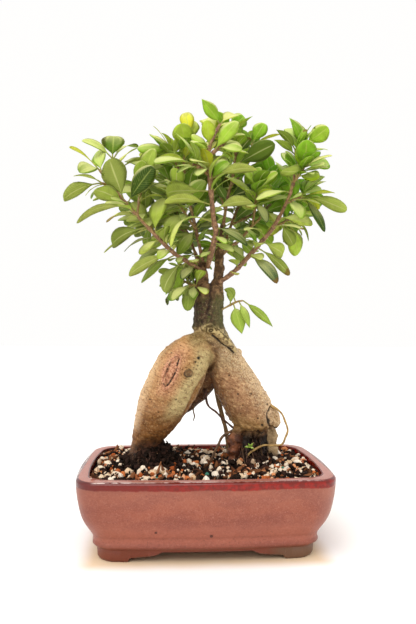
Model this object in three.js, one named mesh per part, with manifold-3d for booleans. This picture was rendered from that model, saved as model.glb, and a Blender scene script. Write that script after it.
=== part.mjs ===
// Fig bonsai in a glazed pot: swollen legs of root, a grafted trunk, leafy branches and gravelly soil.
// Millimetres, +Z up, standing on z = 0.
import * as THREE from 'three';
import Module from 'manifold-3d';
import { mergeVertices } from 'three/addons/utils/BufferGeometryUtils.js';

const wasm = await Module();
wasm.setup();

// The pot: a bow-sided rectangle with round corners, measured over its rim.
const POT_LENGTH = 203;
const POT_DEPTH = 145;
const POT_HEIGHT = 62.5;
const POT_CORNER = 20;
const FRONT_BOW = 3.5;
const SIDE_BOW = 3;
const CORNER_EASE = 3;
const LIP_WIDTH = 9.6;
const FLOOR_UNDERSIDE = 8.5;
const FLOOR_TOP = 14;
const FOOT_LENGTH = 26.5;
const FOOT_INSET = 15.5;
const FOOT_WIDTH = 13;
const SIDE_FOOT_SHORTER = 4;
const DRAIN_RADIUS = 8;
const DRAIN_SPACING = 84;
const MESH_SIDE = 26;
const MESH_THICKNESS = 1;
const MESH_HOLES = 2;
const MESH_BORDER = 0.4;
const MESH_OPEN = 0.64;

// The outside and the inside of the wall, each from the bottom up as [height, distance in from the rim].
const WALL_OUTSIDE = [
  [0, 16.8], [2.4, 15.6], [9, 15.2], [12, 12.4], [15, 12.6], [19, 12], [23.4, 9.2], [29, 6], [36, 3.4],
  [47, 1.2], [59.5, 0], [61.4, 0.5], [POT_HEIGHT, 2.2],
];
const WALL_INSIDE = [
  [FLOOR_TOP, 26], [17, 21.5], [28, 14.5], [44, LIP_WIDTH + 1], [POT_HEIGHT - 1.2, LIP_WIDTH],
  [POT_HEIGHT + 1, LIP_WIDTH - 1.4],
];

// The underside of a foot's inner end, from its toe inward as [distance in, height], up to the flat underside.
const FOOT_STEP = [[0, -1], [1, 1.2], [1.8, 2.6], [4, 3], [17, 4.2], [21.5, 5.2], [26, 7.5]];

// The soil: nearly level with the rim, heaped round the feet of the two front roots.
const SOIL_EDGE_HEIGHT = 58.8;
const SOIL_CROWN = 2.6;
const SOIL_GRIT = 1.5;
const SOIL_RINGS = [1, 0.93, 0.84, 0.74, 0.64, 0.53, 0.42, 0.31, 0.19];
const SOIL_SIDES = 32;
const HEAP_STEEPNESS = 1.6;
const SOIL_HEAPS = [
  { at: [-45, 0], radius: 25, height: 13 },
  { at: [42, 0], radius: 24, height: 9 },
];

// Space left between one piece and the next.
const GAP = 0.3;

// The leaves and their stems. Shares are of a leaf's length, and the fold is the rise of its edges.
const LEAF_THICKNESS = 0.8;
const STEM_SIDES = 5;
const TWIG_SIDES = 4;
const STALK_SHARE = 0.16;
const STALK_RADIUS = 0.75;
const LEAF_FOLD = 0.16;
const LEAF_RINGS = [0.4, 0.8];
const LEAF_LENGTHS = [27, 36];
const LEAF_WIDTH_SHARE = [0.46, 0.58];
const GOLDEN_TURN = 137.5;
const CLEAR_OF_OTHERS = 3;
const CLEAR_OF_OWN = 2.2;
const SHIFTS = [0, 6, -6, 12, -12, 18, -18, 25, -25];
const SWINGS = [0, 20, -20, 40, -40, 60, -60, 85, -85];
const CROWN_LOW = [-112, -64, 196];
const CROWN_HIGH = [118, 92, 366];
const CROWN_MIDDLE = 12;

// The middle of the bounding box lies this far from the pot's middle.
const MIDDLE = [2.5, 9.5, 0];

// Each branch is its stems: the first one grows from the trunk and the others from it. A stem has its route,
// its radius at both ends, how many leaves grow on it in a spiral from what share of its length, and the
// leaves set one by one: [share of the stem's length, tip x, y, z, width, facing, arch]. A facing of 0 turns
// the upper face to the front, 90 up and 180 to the back. The arch is the midrib's rise as a share of length.
const BRANCHES = [
  {
    name: 'branch_left',
    stems: [
      {
        route: [
          [-3, -3, 224], [-18, -10, 232], [-28, -14, 238], [-47, -18, 256], [-64, -20, 274],
          [-75, -22, 287], [-88, -22, 303],
        ],
        radius: [2, 1.1], spiral: 3, from: 0.3,
        set: [
          [1, -100, -44, 295, 14, 30, 0.1], [1, -113, -14, 324, 8, 90, 0.05],
          [0.97, -93, -4, 326, 14, 0, 0.05], [0.73, -79, -30, 311, 21, 180, 0.05],
          [0.7, -44, -26, 306, 17, 20, 0.05], [0.7, -89, -34, 282, 15, 150, 0.1],
          [0.66, -105, -34, 259, 11, 120, 0.2], [0.58, -79, -44, 257, 11, 120, 0.15],
          [0.49, -76, -34, 240, 15, 110, 0.26], [0.48, -85, -8, 237, 7, 90, 0.05],
          [0.39, -69, -4, 240, 11, 60, 0.1], [0.29, -60, 12, 228, 20, 30, 0.12],
          [0.26, -63, -34, 216, 11, 150, 0.05], [0.22, -55, 4, 214, 12, 30, 0.1],
          [0.16, -35, -26, 203, 14, 150, 0.15], [0.13, -31, -2, 205, 19, 20, 0.12],
          [0.06, -20, -22, 215, 10, 40, 0.1],
        ],
      },
      {
        route: [[-76, -22, 289], [-85, -30, 290]],
        radius: [1.2, 1], spiral: 0, from: 0,
        set: [[0.98, -113, -40, 274, 13, 140, 0.2], [0.92, -106, -36, 294, 10, 95, 0.1]],
      },
      {
        route: [[-75, -22, 287], [-77, -10, 304], [-79, -4, 318]],
        radius: [1.3, 1], spiral: 1, from: 0.3,
        set: [
          [0.99, -104, -2, 332, 11, 60, 0.1], [1, -78, 10, 338, 20, 0, 0.05],
          [0.94, -61, 14, 342, 12, 90, 0.1], [0.5, -49, 0, 320, 12, 90, 0.1],
        ],
      },
      {
        route: [[-57, -19, 267], [-55, -4, 290], [-51, 10, 311]],
        radius: [1.4, 1], spiral: 5, from: 0.2, set: [],
      },
      {
        route: [[-42, -17, 251], [-48, 8, 266], [-58, 28, 286]],
        radius: [1.4, 1], spiral: 4, from: 0.3, set: [],
      },
    ],
  },
  {
    name: 'branch_centre_left',
    stems: [
      {
        route: [[-1, 2, 230], [-6, 9, 255], [-12, 18, 284], [-17, 26, 306]],
        radius: [1.9, 1.2], spiral: 3, from: 0.3, set: [[0.4, -23, -2, 238, 12, 30, 0.1]],
      },
      {
        route: [[-7, 11, 261], [-20, -2, 277], [-28, -12, 290]],
        radius: [1.4, 1], spiral: 3, from: 0.3,
        set: [[1, -58, -28, 268, 9, 110, 0.3], [0.44, -33, -16, 254, 14, 40, 0.1]],
      },
      {
        route: [[-12, 19, 286], [-28, 38, 306], [-38, 50, 328]],
        radius: [1.4, 1], spiral: 5, from: 0.15, set: [],
      },
      {
        route: [[-15, 24, 300], [-18, 16, 320], [-16, 10, 333], [-13, 8, 343]],
        radius: [1.4, 1], spiral: 2, from: 0.1,
        set: [
          [0.93, -9, 14, 360, 12, 0, 0.05], [1, -15, 18, 367, 13, 0, 0.05],
          [0.76, -21, -4, 350, 19, 0, 0.05],
        ],
      },
      {
        route: [[-16, 26, 306], [-26, 14, 322], [-32, 8, 334]],
        radius: [1.3, 1], spiral: 2, from: 0.1,
        set: [
          [0.9, -58, -2, 328, 13, 10, 0.05], [0.8, -58, -12, 320, 11, 120, 0.1],
          [1, -45, 12, 353, 7, 90, 0.05],
        ],
      },
    ],
  },
  {
    name: 'branch_front',
    stems: [
      {
        route: [
          [2, -4, 226], [6, -14, 243], [8, -20, 254], [6, -22, 263], [4, -25, 279], [2, -26, 301],
          [1, -26, 314], [2, -24, 325],
        ],
        radius: [1.9, 1.2], spiral: 2, from: 0.6,
        set: [
          [0.63, -33, -48, 278, 17, 160, 0.26], [0.52, -35, -44, 272, 12, 130, 0.1],
          [0.38, -30, -48, 238, 9, 100, 0.26], [0.48, 34, -48, 273, 13, 140, 0.15],
          [0.72, 38, -46, 300, 12, 130, 0.15], [0.79, -13, -50, 304, 16, 60, 0.1],
          [0.35, 33, -30, 242, 9, 30, 0.1], [0.96, -13, -42, 321, 13, 60, 0.1],
          [0.99, -1, -36, 341, 12, 10, 0.05],
        ],
      },
      {
        route: [[1, -26, 314], [7, -23, 321], [16, -19, 330]],
        radius: [1.2, 1], spiral: 2, from: 0.3,
        set: [[0.31, 25, -26, 345, 14, 20, 0.08], [0.55, 28, -38, 319, 12, 30, 0.1]],
      },
      {
        route: [[2, -26, 299], [-6, -34, 303], [-13, -38, 304]],
        radius: [1.2, 1], spiral: 1, from: 0.4,
        set: [[1, -41, -50, 305, 12, 130, 0.15], [0.9, -42, -44, 299, 13, 60, 0.1]],
      },
      {
        route: [[2, -24, 323], [5, -18, 333], [12, -10, 348]],
        radius: [1.2, 1], spiral: 3, from: 0.3,
        set: [[0.98, -4, -18, 366, 12, 20, 0.05], [0.3, 1, -6, 356, 12, 0, 0.05]],
      },
    ],
  },
  {
    name: 'branch_centre_right',
    stems: [
      {
        route: [[14, 5, 243], [18, 12, 272], [22, 18, 294], [26, 22, 310], [29, 25, 328], [31, 25, 340]],
        radius: [1.9, 1.1], spiral: 3, from: 0.4, set: [[0.83, 62, 4, 337, 18, 160, 0.1]],
      },
      {
        route: [[24, 20, 302], [38, 32, 321], [46, 38, 338], [46, 36, 348]],
        radius: [1.4, 1], spiral: 3, from: 0.3,
        set: [[1, 57, 32, 366, 15, 10, 0.08], [0.96, 75, 24, 358, 7, 95, 0.05]],
      },
      {
        route: [[30, 25, 332], [24, 18, 343], [21, 12, 350]],
        radius: [1.2, 1], spiral: 1, from: 0.2,
        set: [
          [0.99, 11, 4, 365, 11, 20, 0.05], [1, 36, 16, 366, 15, 0, 0.08], [0.7, 40, -4, 356, 9, 60, 0.08],
        ],
      },
      {
        route: [[19, 14, 280], [14, 38, 306], [8, 54, 331]],
        radius: [1.5, 1], spiral: 5, from: 0.2, set: [],
      },
    ],
  },
  {
    name: 'branch_right',
    stems: [
      {
        route: [
          [12, -2, 214], [20, -4, 219], [30, -6, 228], [45, -8, 245], [58, -10, 261], [68, -11, 280],
          [73, -12, 293], [76, -12, 306], [77, -11, 319], [77, -10, 328],
        ],
        radius: [2.6, 1.1], spiral: 3, from: 0.45,
        set: [
          [0.99, 58, -22, 341, 9, 100, 0.1], [0.96, 54, -32, 329, 8, 100, 0.05],
          [0.82, 72, 4, 334, 12, 20, 0.08], [0.72, 40, -30, 279, 12, 50, 0.1],
          [0.48, 78, -34, 255, 6, 60, 0.08], [0.4, 30, -36, 254, 10, 60, 0.1],
          [0.37, 62, -34, 234, 13, 160, 0.1], [0.32, 70, -20, 219, 9, 130, 0.08],
          [0.25, 58, -26, 212, 13, 40, 0.12],
        ],
      },
      {
        route: [[74, -12, 298], [79, -18, 305], [82, -21, 310]],
        radius: [1.3, 1], spiral: 0, from: 0,
        set: [
          [0.95, 81, -34, 328, 19, 0, 0.05], [1, 103, -30, 317, 9, 60, 0.05],
          [0.97, 107, -8, 318, 15, 20, 0.05], [0.9, 57, -44, 300, 14, 140, -0.08],
        ],
      },
      {
        route: [[68, -11, 281], [78, -8, 286], [86, -5, 289]],
        radius: [1.3, 1], spiral: 0, from: 0,
        set: [
          [0.9, 110, -14, 291, 9, 110, 0.08], [0.73, 107, 4, 305, 10, 60, 0.1],
          [0.99, 118, -22, 274, 12, 140, 0.1], [0.31, 76, -32, 264, 14, 20, 0.1],
          [0.88, 100, -18, 256, 10, 30, 0.1], [0.14, 76, -32, 284, 10, 20, 0.05],
        ],
      },
      {
        route: [[76, -11, 314], [83, -4, 327], [87, 0, 335]],
        radius: [1.3, 1], spiral: 2, from: 0.2,
        set: [
          [0.98, 71, -14, 354, 14, 20, 0.05], [0.89, 72, 8, 353, 12, 20, 0.08],
          [1, 106, -8, 349, 16, 10, 0.05],
        ],
      },
      {
        route: [[57, -10, 260], [71, 8, 269], [86, 24, 279]],
        radius: [1.5, 1], spiral: 4, from: 0.35,
        set: [[0.35, 77, 0, 247, 12, 150, 0.1], [0.84, 94, 14, 253, 8, 100, 0.1]],
      },
    ],
  },
  {
    name: 'branch_back_right',
    stems: [
      {
        route: [
          [15, 4, 238], [24, 9, 247], [31, 12, 252], [42, 16, 265], [52, 20, 276], [59, 26, 294],
          [64, 30, 310],
        ],
        radius: [1.7, 1.1], spiral: 2, from: 0.5,
        set: [[0.97, 40, 12, 308, 10, 60, 0.1], [1, 58, 14, 335, 12, 0, 0.08]],
      },
      {
        route: [[52, 20, 276], [66, 38, 294], [80, 50, 308]],
        radius: [1.4, 1], spiral: 6, from: 0.2, set: [],
      },
      {
        route: [[44, 17, 268], [45, 6, 285], [45, 0, 297]],
        radius: [1.3, 1], spiral: 3, from: 0.3, set: [[0.58, 50, -22, 262, 9, 40, 0.1]],
      },
    ],
  },
  {
    name: 'branch_back_left',
    stems: [
      {
        route: [[-3, 3, 226], [-9, 19, 246], [-16, 34, 266], [-25, 48, 286], [-31, 56, 306]],
        radius: [1.8, 1.1], spiral: 6, from: 0.35, set: [],
      },
      {
        route: [[-15, 32, 263], [-34, 42, 272], [-50, 48, 283]],
        radius: [1.4, 1], spiral: 6, from: 0.25, set: [],
      },
      {
        route: [[-23, 46, 283], [-14, 60, 305], [-8, 66, 322]],
        radius: [1.4, 1], spiral: 6, from: 0.2, set: [],
      },
    ],
  },
  {
    name: 'branch_back_middle',
    stems: [
      {
        route: [[12, 5, 234], [21, 25, 256], [30, 42, 279], [39, 54, 301], [44, 60, 319]],
        radius: [1.8, 1.1], spiral: 6, from: 0.35, set: [],
      },
      {
        route: [[27, 36, 271], [46, 48, 282], [62, 56, 292]],
        radius: [1.4, 1], spiral: 6, from: 0.3, set: [],
      },
      {
        route: [[35, 49, 290], [28, 64, 310], [24, 70, 327]],
        radius: [1.4, 1], spiral: 6, from: 0.2, set: [],
      },
    ],
  },
  {
    name: 'twigs_low',
    stems: [
      {
        route: [[-5, -1, 210], [-11, -4, 211], [-14, -8, 209]],
        radius: [1.2, 1], spiral: 0, from: 0,
        set: [
          [0.95, -15, -16, 189, 11, 0, 0.1], [0.7, -28, -16, 197, 9, 60, 0.1],
        ],
      },
      {
        route: [[-9, -3, 210.5], [-15, 4, 214], [-20, 8, 216]],
        radius: [1.1, 1], spiral: 2, from: 0.4, set: [],
      },
    ],
  },
];

// The pale shoot of the rootstock, whose leaves are pointed.
const SHOOT = {
  name: 'rootstock_shoot',
  pointed: true,
  stems: [
    {
      route: [[12, -3, 189], [21, -6, 194], [27, -8, 197], [32, -9, 198]],
      radius: [1.1, 0.8], spiral: 0, from: 0,
      set: [
        [1, 57, -14, 176, 8, 140, 0.06], [0.85, 37, -16, 175, 7, 20, 0.08],
        [0.62, 31, -18, 170, 13, 10, 0.08], [0.72, 15, -16, 207, 8, 120, 0.3],
        [0.5, 18, -14, 206, 6, 60, 0.1],
      ],
    },
  ],
};

// The roots and the trunk, each as points [x, y, z, radius] along it.
const TRUNK = [
  [5, 1, 154, 13], [4.5, 0, 162, 16.6], [4.4, 0, 167, 15.8], [3.8, 0, 174, 12.6], [3.6, 0, 188, 11.8],
  [3.6, 0, 202, 11.7], [3.8, 0, 209, 10.6], [4, 0, 213, 7.5],
];
const LEFT_ROOT = [
  [0, -2, 163, 12], [-13, -8, 152, 17.6], [-22, -13, 139, 21.4], [-32, -15, 119, 20.8], [-40.5, -12, 101, 17.8],
  [-45.5, -8, 88, 13.6], [-48.5, -5, 77, 12], [-50, -3, 66, 12.4], [-50, -2, 50, 8], [-50, -2, 36, 4],
];
const RIGHT_ROOT = [
  [5, 0, 167, 10], [12, -3, 155, 14], [20, -5, 138, 17], [31, -6, 119, 18.6], [40, -5, 104, 18.8],
  [46, -4, 95, 15.4], [48, -4, 89, 9],
];
const BACK_ROOT = [
  [4, 4, 156, 11], [3, 9, 142, 13], [-1, 14, 128, 12.2], [-14, 19, 113, 11], [-26, 22, 102, 10],
  [-37, 24, 89, 8.6], [-43, 25, 76, 8], [-46, 25, 58, 6], [-47, 25, 42, 3],
];
const SMALL_ROOTS = [
  [[50, -2, 108, 7], [57, -4, 101, 7], [60, -6, 93, 4.6]],
  [[33, -7, 99, 5], [27, -8, 86, 4.6], [25, -8, 72, 5], [25, -8, 54, 3.4]],
  [[54, -2, 100, 4], [59, -3, 85, 3], [59, -2, 66, 2.6], [58, -2, 48, 2]],
  [[40, -8, 96, 3], [36, -11, 78, 2.2], [39, -13, 62, 2], [41, -13, 50, 1.4]],
  [[47, -6, 94, 3.4], [49, -10, 76, 2.4], [46, -13, 60, 2.2], [46, -13, 48, 1.4]],
  [[48, 2, 97, 4], [51, 4, 74, 3.4], [50, 6, 50, 2]],
  [[38, 4, 100, 4.6], [35, 8, 78, 4], [33, 10, 48, 2]],
  [[11, 11, 128, 3], [13, 15, 116, 2.4], [17, 15, 98, 2], [21, 15, 82, 1.8], [24, 15, 52, 1.6]],
  [
    [1, 2, 122, 2], [3, -4, 110, 1.2], [10, -5, 104, 1.1], [16, -5, 98, 1.1], [23, -6, 92, 1.2],
    [28, -8, 88, 1.2],
  ],
  [[26, -7, 90, 1.6], [16, -6, 84, 1.3], [12, -6, 77, 1.3], [6, -6, 64, 1.2], [4, -6, 52, 1.1]],
  [
    [54, -12, 111, 1.5], [63, -15, 105, 0.9], [67, -15, 97, 0.9], [69, -15, 90, 0.9], [67, -15, 84, 0.9],
    [64, -15, 78.5, 0.9], [56, -15, 77.6, 0.9], [49, -15, 77.8, 0.9], [42, -15, 74.7, 0.9], [36, -15, 70, 0.9],
    [31, -15, 60, 0.9], [30, -15, 50, 0.9],
  ],
];
const STUBS = [
  [[-1, 0, 200, 7], [-2.4, 0.4, 214, 5.8], [-2, 0.6, 226, 4.4], [-1.4, 0.6, 231, 2.8]],
  [[9, 0, 200, 7.4], [11.6, 1.6, 216, 5.6], [13, 3, 232, 4.4], [13.6, 3.6, 240, 3]],
];
// The lump of healed wood along the graft, and the knots where side roots and shoots were cut away.
const GRAFT_LUMP = [
  [-0.5, -9, 176, 4], [5, -12.5, 172, 5], [13, -12.5, 165, 5.6], [21, -10, 157, 5], [27, -8, 150, 2.6],
];
const CUT_KNOTS = [
  [[-15, -30, 137, 3.4], [-14.8, -34.6, 137, 2.6]],
  [[33, -21, 128, 3], [33.6, -24.2, 128, 2]],
];

const point = ([x, y, z]) => new THREE.Vector3(x, y, z);
const mix = THREE.MathUtils.lerp;
const share = (value, low, high) => THREE.MathUtils.clamp((value - low) / (high - low), 0, 1);

// A repeatable draw between 0 and 1.
function drawer(seed) {
  let state = seed;
  return () => {
    state = (state * 1664525 + 1013904223) % 4294967296;
    return state / 4294967296;
  };
}

// ---- closed surfaces and solids ----

// The triangles between two rings of points, walked the same way round; their counts may differ.
function joinRings(faces, firstA, countA, firstB, countB) {
  let a = 0;
  let b = 0;
  while (a < (countA > 1 ? countA : 0) || b < (countB > 1 ? countB : 0)) {
    const nextA = countA > 1 ? (a + 1) / countA : 2;
    const nextB = countB > 1 ? (b + 1) / countB : 2;
    const cornerA = firstA + (a % countA);
    const cornerB = firstB + (b % countB);
    if (nextA <= nextB) {
      faces.push([cornerA, firstA + ((a + 1) % countA), cornerB]);
      a += 1;
    } else {
      faces.push([cornerA, firstB + ((b + 1) % countB), cornerB]);
      b += 1;
    }
  }
}

// A closed geometry through a row of rings. A ring of one point is a tip; other end rings are capped flat.
function skin(rings) {
  const points = rings.flat();
  const starts = rings.map((_, i) => rings.slice(0, i).reduce((sum, ring) => sum + ring.length, 0));
  const faces = [];
  for (let i = 0; i + 1 < rings.length; i += 1) {
    joinRings(faces, starts[i], rings[i].length, starts[i + 1], rings[i + 1].length);
  }
  const last = rings.length - 1;
  for (let k = 1; k + 1 < rings[0].length; k += 1) faces.push([0, k + 1, k]);
  for (let k = 1; k + 1 < rings[last].length; k += 1) {
    faces.push([starts[last], starts[last] + k, starts[last] + k + 1]);
  }
  const volume = faces.reduce((sum, [a, b, c]) => {
    return sum + points[a].dot(new THREE.Vector3().crossVectors(points[b], points[c]));
  }, 0);
  const geometry = new THREE.BufferGeometry().setFromPoints(points);
  geometry.setIndex(faces.flatMap(([a, b, c]) => (volume > 0 ? [a, b, c] : [a, c, b])));
  return geometry;
}

function solid(geometry) {
  const bare = geometry.clone();
  bare.deleteAttribute('normal');
  bare.deleteAttribute('uv');
  const merged = mergeVertices(bare, 1e-4);
  return new wasm.Manifold(new wasm.Mesh({
    numProp: 3,
    vertProperties: new Float32Array(merged.attributes.position.array),
    triVerts: new Uint32Array(merged.index.array),
  }));
}

const fuse = (solids) => solids.reduce((whole, piece) => whole.add(piece));

function node(name, shape, colour, roughness) {
  const pieces = shape.decompose().sort((a, b) => b.volume() - a.volume());
  const mesh = pieces[0].getMesh();
  const geometry = new THREE.BufferGeometry();
  geometry.setAttribute('position', new THREE.BufferAttribute(mesh.vertProperties, 3));
  geometry.setIndex(new THREE.BufferAttribute(mesh.triVerts, 1));
  geometry.computeVertexNormals();
  const surface = new THREE.MeshStandardMaterial({ color: colour, roughness, metalness: 0 });
  const made = new THREE.Mesh(geometry, surface);
  made.name = name;
  return made;
}

// A round bar through points [x, y, z, radius], its rings turned as little as possible from one to the next.
function bar(route, sides, swell = () => 1, thicker = 0) {
  let side = new THREE.Vector3(1, 0.2, 0);
  const rings = route.map((at, i) => {
    const before = point(route[Math.max(i - 1, 0)]);
    const ahead = point(route[Math.min(i + 1, route.length - 1)]).sub(before).normalize();
    side.addScaledVector(ahead, -side.dot(ahead)).normalize();
    const other = new THREE.Vector3().crossVectors(ahead, side);
    return Array.from({ length: sides }, (_, k) => {
      const angle = (k * 2 * Math.PI) / sides;
      const radius = at[3] * swell(angle, i) + thicker;
      return point(at).addScaledVector(side, radius * Math.cos(angle))
        .addScaledVector(other, radius * Math.sin(angle));
    });
  });
  return skin(rings);
}

// ---- the pot ----

// The pot's outline at a height, a distance in from the rim: four bowed sides and four round corners.
function outline(inset, height, divisions) {
  const a = POT_LENGTH / 2 - inset;
  const b = POT_DEPTH / 2 - inset;
  const corner = Math.max(POT_CORNER - inset * 0.4, 8);
  const shape = new THREE.Shape();
  shape.moveTo(a - SIDE_BOW, corner - b);
  [[1, 1], [-1, 1], [-1, -1], [1, -1]].forEach(([sx, sy], i) => {
    const upright = [sx * (a - SIDE_BOW), sy * (b - corner)];
    const level = [sx * (a - corner), sy * (b - FRONT_BOW)];
    const square = [sx * (a - SIDE_BOW - CORNER_EASE), sy * (b - FRONT_BOW - CORNER_EASE)];
    const [first, second] = i % 2 ? [level, upright] : [upright, level];
    const bulge = i % 2 ? [0, sy * (b + FRONT_BOW)] : [sx * (a + SIDE_BOW), 0];
    shape.quadraticCurveTo(...bulge, ...first);
    shape.quadraticCurveTo(...square, ...second);
  });
  return shape.getPoints(divisions).slice(0, -1).map((p) => new THREE.Vector3(p.x, p.y, height));
}

// The outline of the space between two feet, whose outer edges are a reach from the middle.
function underArch(reach) {
  const toe = reach - FOOT_LENGTH;
  const right = FOOT_STEP.map(([inward, height]) => new THREE.Vector2(toe - inward, height));
  const left = right.map(({ x, y }) => new THREE.Vector2(-x, y)).reverse();
  return new THREE.Shape([...right, ...left]);
}

function archCut(reach, span, turned) {
  const cut = new THREE.ExtrudeGeometry(underArch(reach), { depth: span, bevelEnabled: false });
  cut.translate(0, 0, -span / 2);
  cut.rotateX(Math.PI / 2);
  if (turned) cut.rotateZ(Math.PI / 2);
  return solid(cut);
}

function drainPositions() {
  return [-DRAIN_SPACING / 2, DRAIN_SPACING / 2];
}

function makePot() {
  const outside = solid(skin(WALL_OUTSIDE.map(([height, inset]) => outline(inset, height, 4))));
  const inside = solid(skin(WALL_INSIDE.map(([height, inset]) => outline(inset, height, 4))));
  const hollowFoot = [[-1, FOOT_INSET + FOOT_WIDTH], [FLOOR_UNDERSIDE, FOOT_INSET + FOOT_WIDTH]];
  let pot = outside.subtract(inside);
  pot = pot.subtract(solid(skin(hollowFoot.map(([height, inset]) => outline(inset, height, 3)))));
  pot = pot.subtract(archCut(POT_LENGTH / 2 - FOOT_INSET, POT_DEPTH + 10, false));
  pot = pot.subtract(archCut(POT_DEPTH / 2 - FOOT_INSET + SIDE_FOOT_SHORTER, POT_LENGTH + 10, true));
  for (const x of drainPositions()) {
    const hole = new THREE.CylinderGeometry(DRAIN_RADIUS, DRAIN_RADIUS, 20, 16);
    hole.rotateX(Math.PI / 2);
    hole.translate(x, 0, FLOOR_TOP - 5);
    pot = pot.subtract(solid(hole));
  }
  return node('pot', pot, 0xa9604e, 0.42);
}

// A square of stiff plastic mesh that lies over a drainage hole.
function makeDrainMesh(name, x) {
  const pitch = MESH_SIDE / (MESH_HOLES + MESH_BORDER);
  const height = FLOOR_TOP + GAP + MESH_THICKNESS / 2;
  const block = (side, thickness, dx, dy) => {
    const box = new THREE.BoxGeometry(side, side, thickness);
    box.translate(x + dx, dy, height);
    return solid(box);
  };
  let plate = block(MESH_SIDE, MESH_THICKNESS, 0, 0);
  for (let i = 0; i < MESH_HOLES; i += 1) {
    for (let k = 0; k < MESH_HOLES; k += 1) {
      const middle = (MESH_HOLES - 1) / 2;
      const hole = block(pitch * MESH_OPEN, MESH_THICKNESS * 3, (i - middle) * pitch, (k - middle) * pitch);
      plate = plate.subtract(hole);
    }
  }
  return node(name, plate, 0x23262a, 0.6);
}

// ---- the soil ----

function soilHeight(x, y) {
  const edge = Math.max(Math.abs(x) / (POT_LENGTH / 2), Math.abs(y) / (POT_DEPTH / 2));
  const heaps = SOIL_HEAPS.reduce((sum, { at, radius, height }) => {
    const away = Math.hypot(x - at[0], y - at[1]) / radius;
    return sum + height * Math.exp(-HEAP_STEEPNESS * away ** 2);
  }, 0);
  return SOIL_EDGE_HEIGHT + SOIL_CROWN * (1 - edge ** 3) + heaps;
}

// The top is rings of the pot's outline drawn ever smaller, each point lifted by a grain of grit or left low.
function makeSoil(roots) {
  const draw = drawer(7);
  const divisions = SOIL_SIDES / 8;
  const top = SOIL_RINGS.map((size) => outline(LIP_WIDTH + 0.6 + GAP, 0, divisions).map((p) => {
    const x = p.x * size;
    const y = p.y * size;
    const grit = size === 1 ? 0 : SOIL_GRIT * mix(-1, 1, draw());
    return new THREE.Vector3(x, y, soilHeight(x, y) + grit);
  }));
  const below = WALL_INSIDE.filter(([height]) => height < SOIL_EDGE_HEIGHT - 2);
  const sides = below.map(([height, inset], i) => outline(inset + GAP, i ? height : height + GAP, divisions));
  let soil = solid(skin([...sides, ...top, [new THREE.Vector3(0, 0, soilHeight(0, 0))]]));
  for (const x of drainPositions()) {
    const pocket = new THREE.BoxGeometry(MESH_SIDE + 2 * GAP, MESH_SIDE + 2 * GAP, MESH_THICKNESS + 4 * GAP);
    pocket.translate(x, 0, FLOOR_TOP + MESH_THICKNESS / 2 + GAP);
    soil = soil.subtract(solid(pocket));
  }
  return node('soil', soil.subtract(roots), 0x3a2a20, 0.95);
}

// ---- roots and trunk ----

function rootBars(thicker) {
  const fluted = (angle) => 1 + 0.04 * Math.cos(3 * angle);
  const legs = [LEFT_ROOT, RIGHT_ROOT].map((route) => bar(route, 13, fluted, thicker));
  const back = bar(BACK_ROOT, 9, fluted, thicker);
  const thin = SMALL_ROOTS.map((route) => bar(route, route[0][3] > 2.5 ? 6 : 4, undefined, thicker));
  return fuse([...legs, back, ...thin].map(solid));
}

// Above the graft the trunk is two stems grown together, so its section has two lobes.
function upperWood() {
  const lobed = (angle, i) => 1 + (i > 3 ? 0.07 * Math.cos(2 * angle) : 0);
  return fuse([bar(TRUNK, 14, lobed), ...STUBS.map((route) => bar(route, 8))].map(solid));
}

function makeTree() {
  const knots = CUT_KNOTS.map((route) => solid(bar(route, 6)));
  return node('tree', fuse([upperWood(), rootBars(0), solid(bar(GRAFT_LUMP, 7)), ...knots]), 0x9a8260, 0.7);
}

// ---- leaves ----

// A place on a stem: the point, and the way the stem runs there.
function along(route, at) {
  const points = route.map(point);
  const lengths = points.slice(1).map((p, i) => p.distanceTo(points[i]));
  let left = at * lengths.reduce((sum, l) => sum + l, 0);
  let i = 0;
  while (i < lengths.length - 1 && left > lengths[i]) {
    left -= lengths[i];
    i += 1;
  }
  const way = points[i + 1].clone().sub(points[i]).normalize();
  return { spot: points[i].clone().addScaledVector(way, left), way };
}

// The directions of a leaf: along it, up from its upper face and across it.
function leafAxes({ base, tip, up }) {
  const reach = tip.clone().sub(base);
  const length = reach.length();
  const ahead = reach.normalize();
  const above = up.clone().addScaledVector(ahead, -up.dot(ahead)).normalize();
  return { length, ahead, above, across: new THREE.Vector3().crossVectors(ahead, above) };
}

// A point of the midrib, a share t of the way from the stem to the tip, and the upper face's direction there.
function midrib(leaf, { length, ahead, above, across }, t) {
  const spot = leaf.base.clone().addScaledVector(ahead, length * t);
  spot.addScaledVector(above, leaf.arch * length * 4 * t * (1 - t));
  const way = ahead.clone().addScaledVector(above, leaf.arch * 4 * (1 - 2 * t)).normalize();
  return { spot, upward: new THREE.Vector3().crossVectors(across, way) };
}

// Half the blade's width, a share u of the way from the stalk to the tip: widest past the middle and blunt,
// or, on a pointed leaf, widest before the middle and drawn out to a point.
function halfWidth(leaf, u) {
  const bell = leaf.pointed ? Math.sin(Math.PI * u ** 0.8) : Math.sin(Math.PI * u ** 1.3) ** 0.72;
  return (leaf.width / 2) * bell;
}

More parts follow.
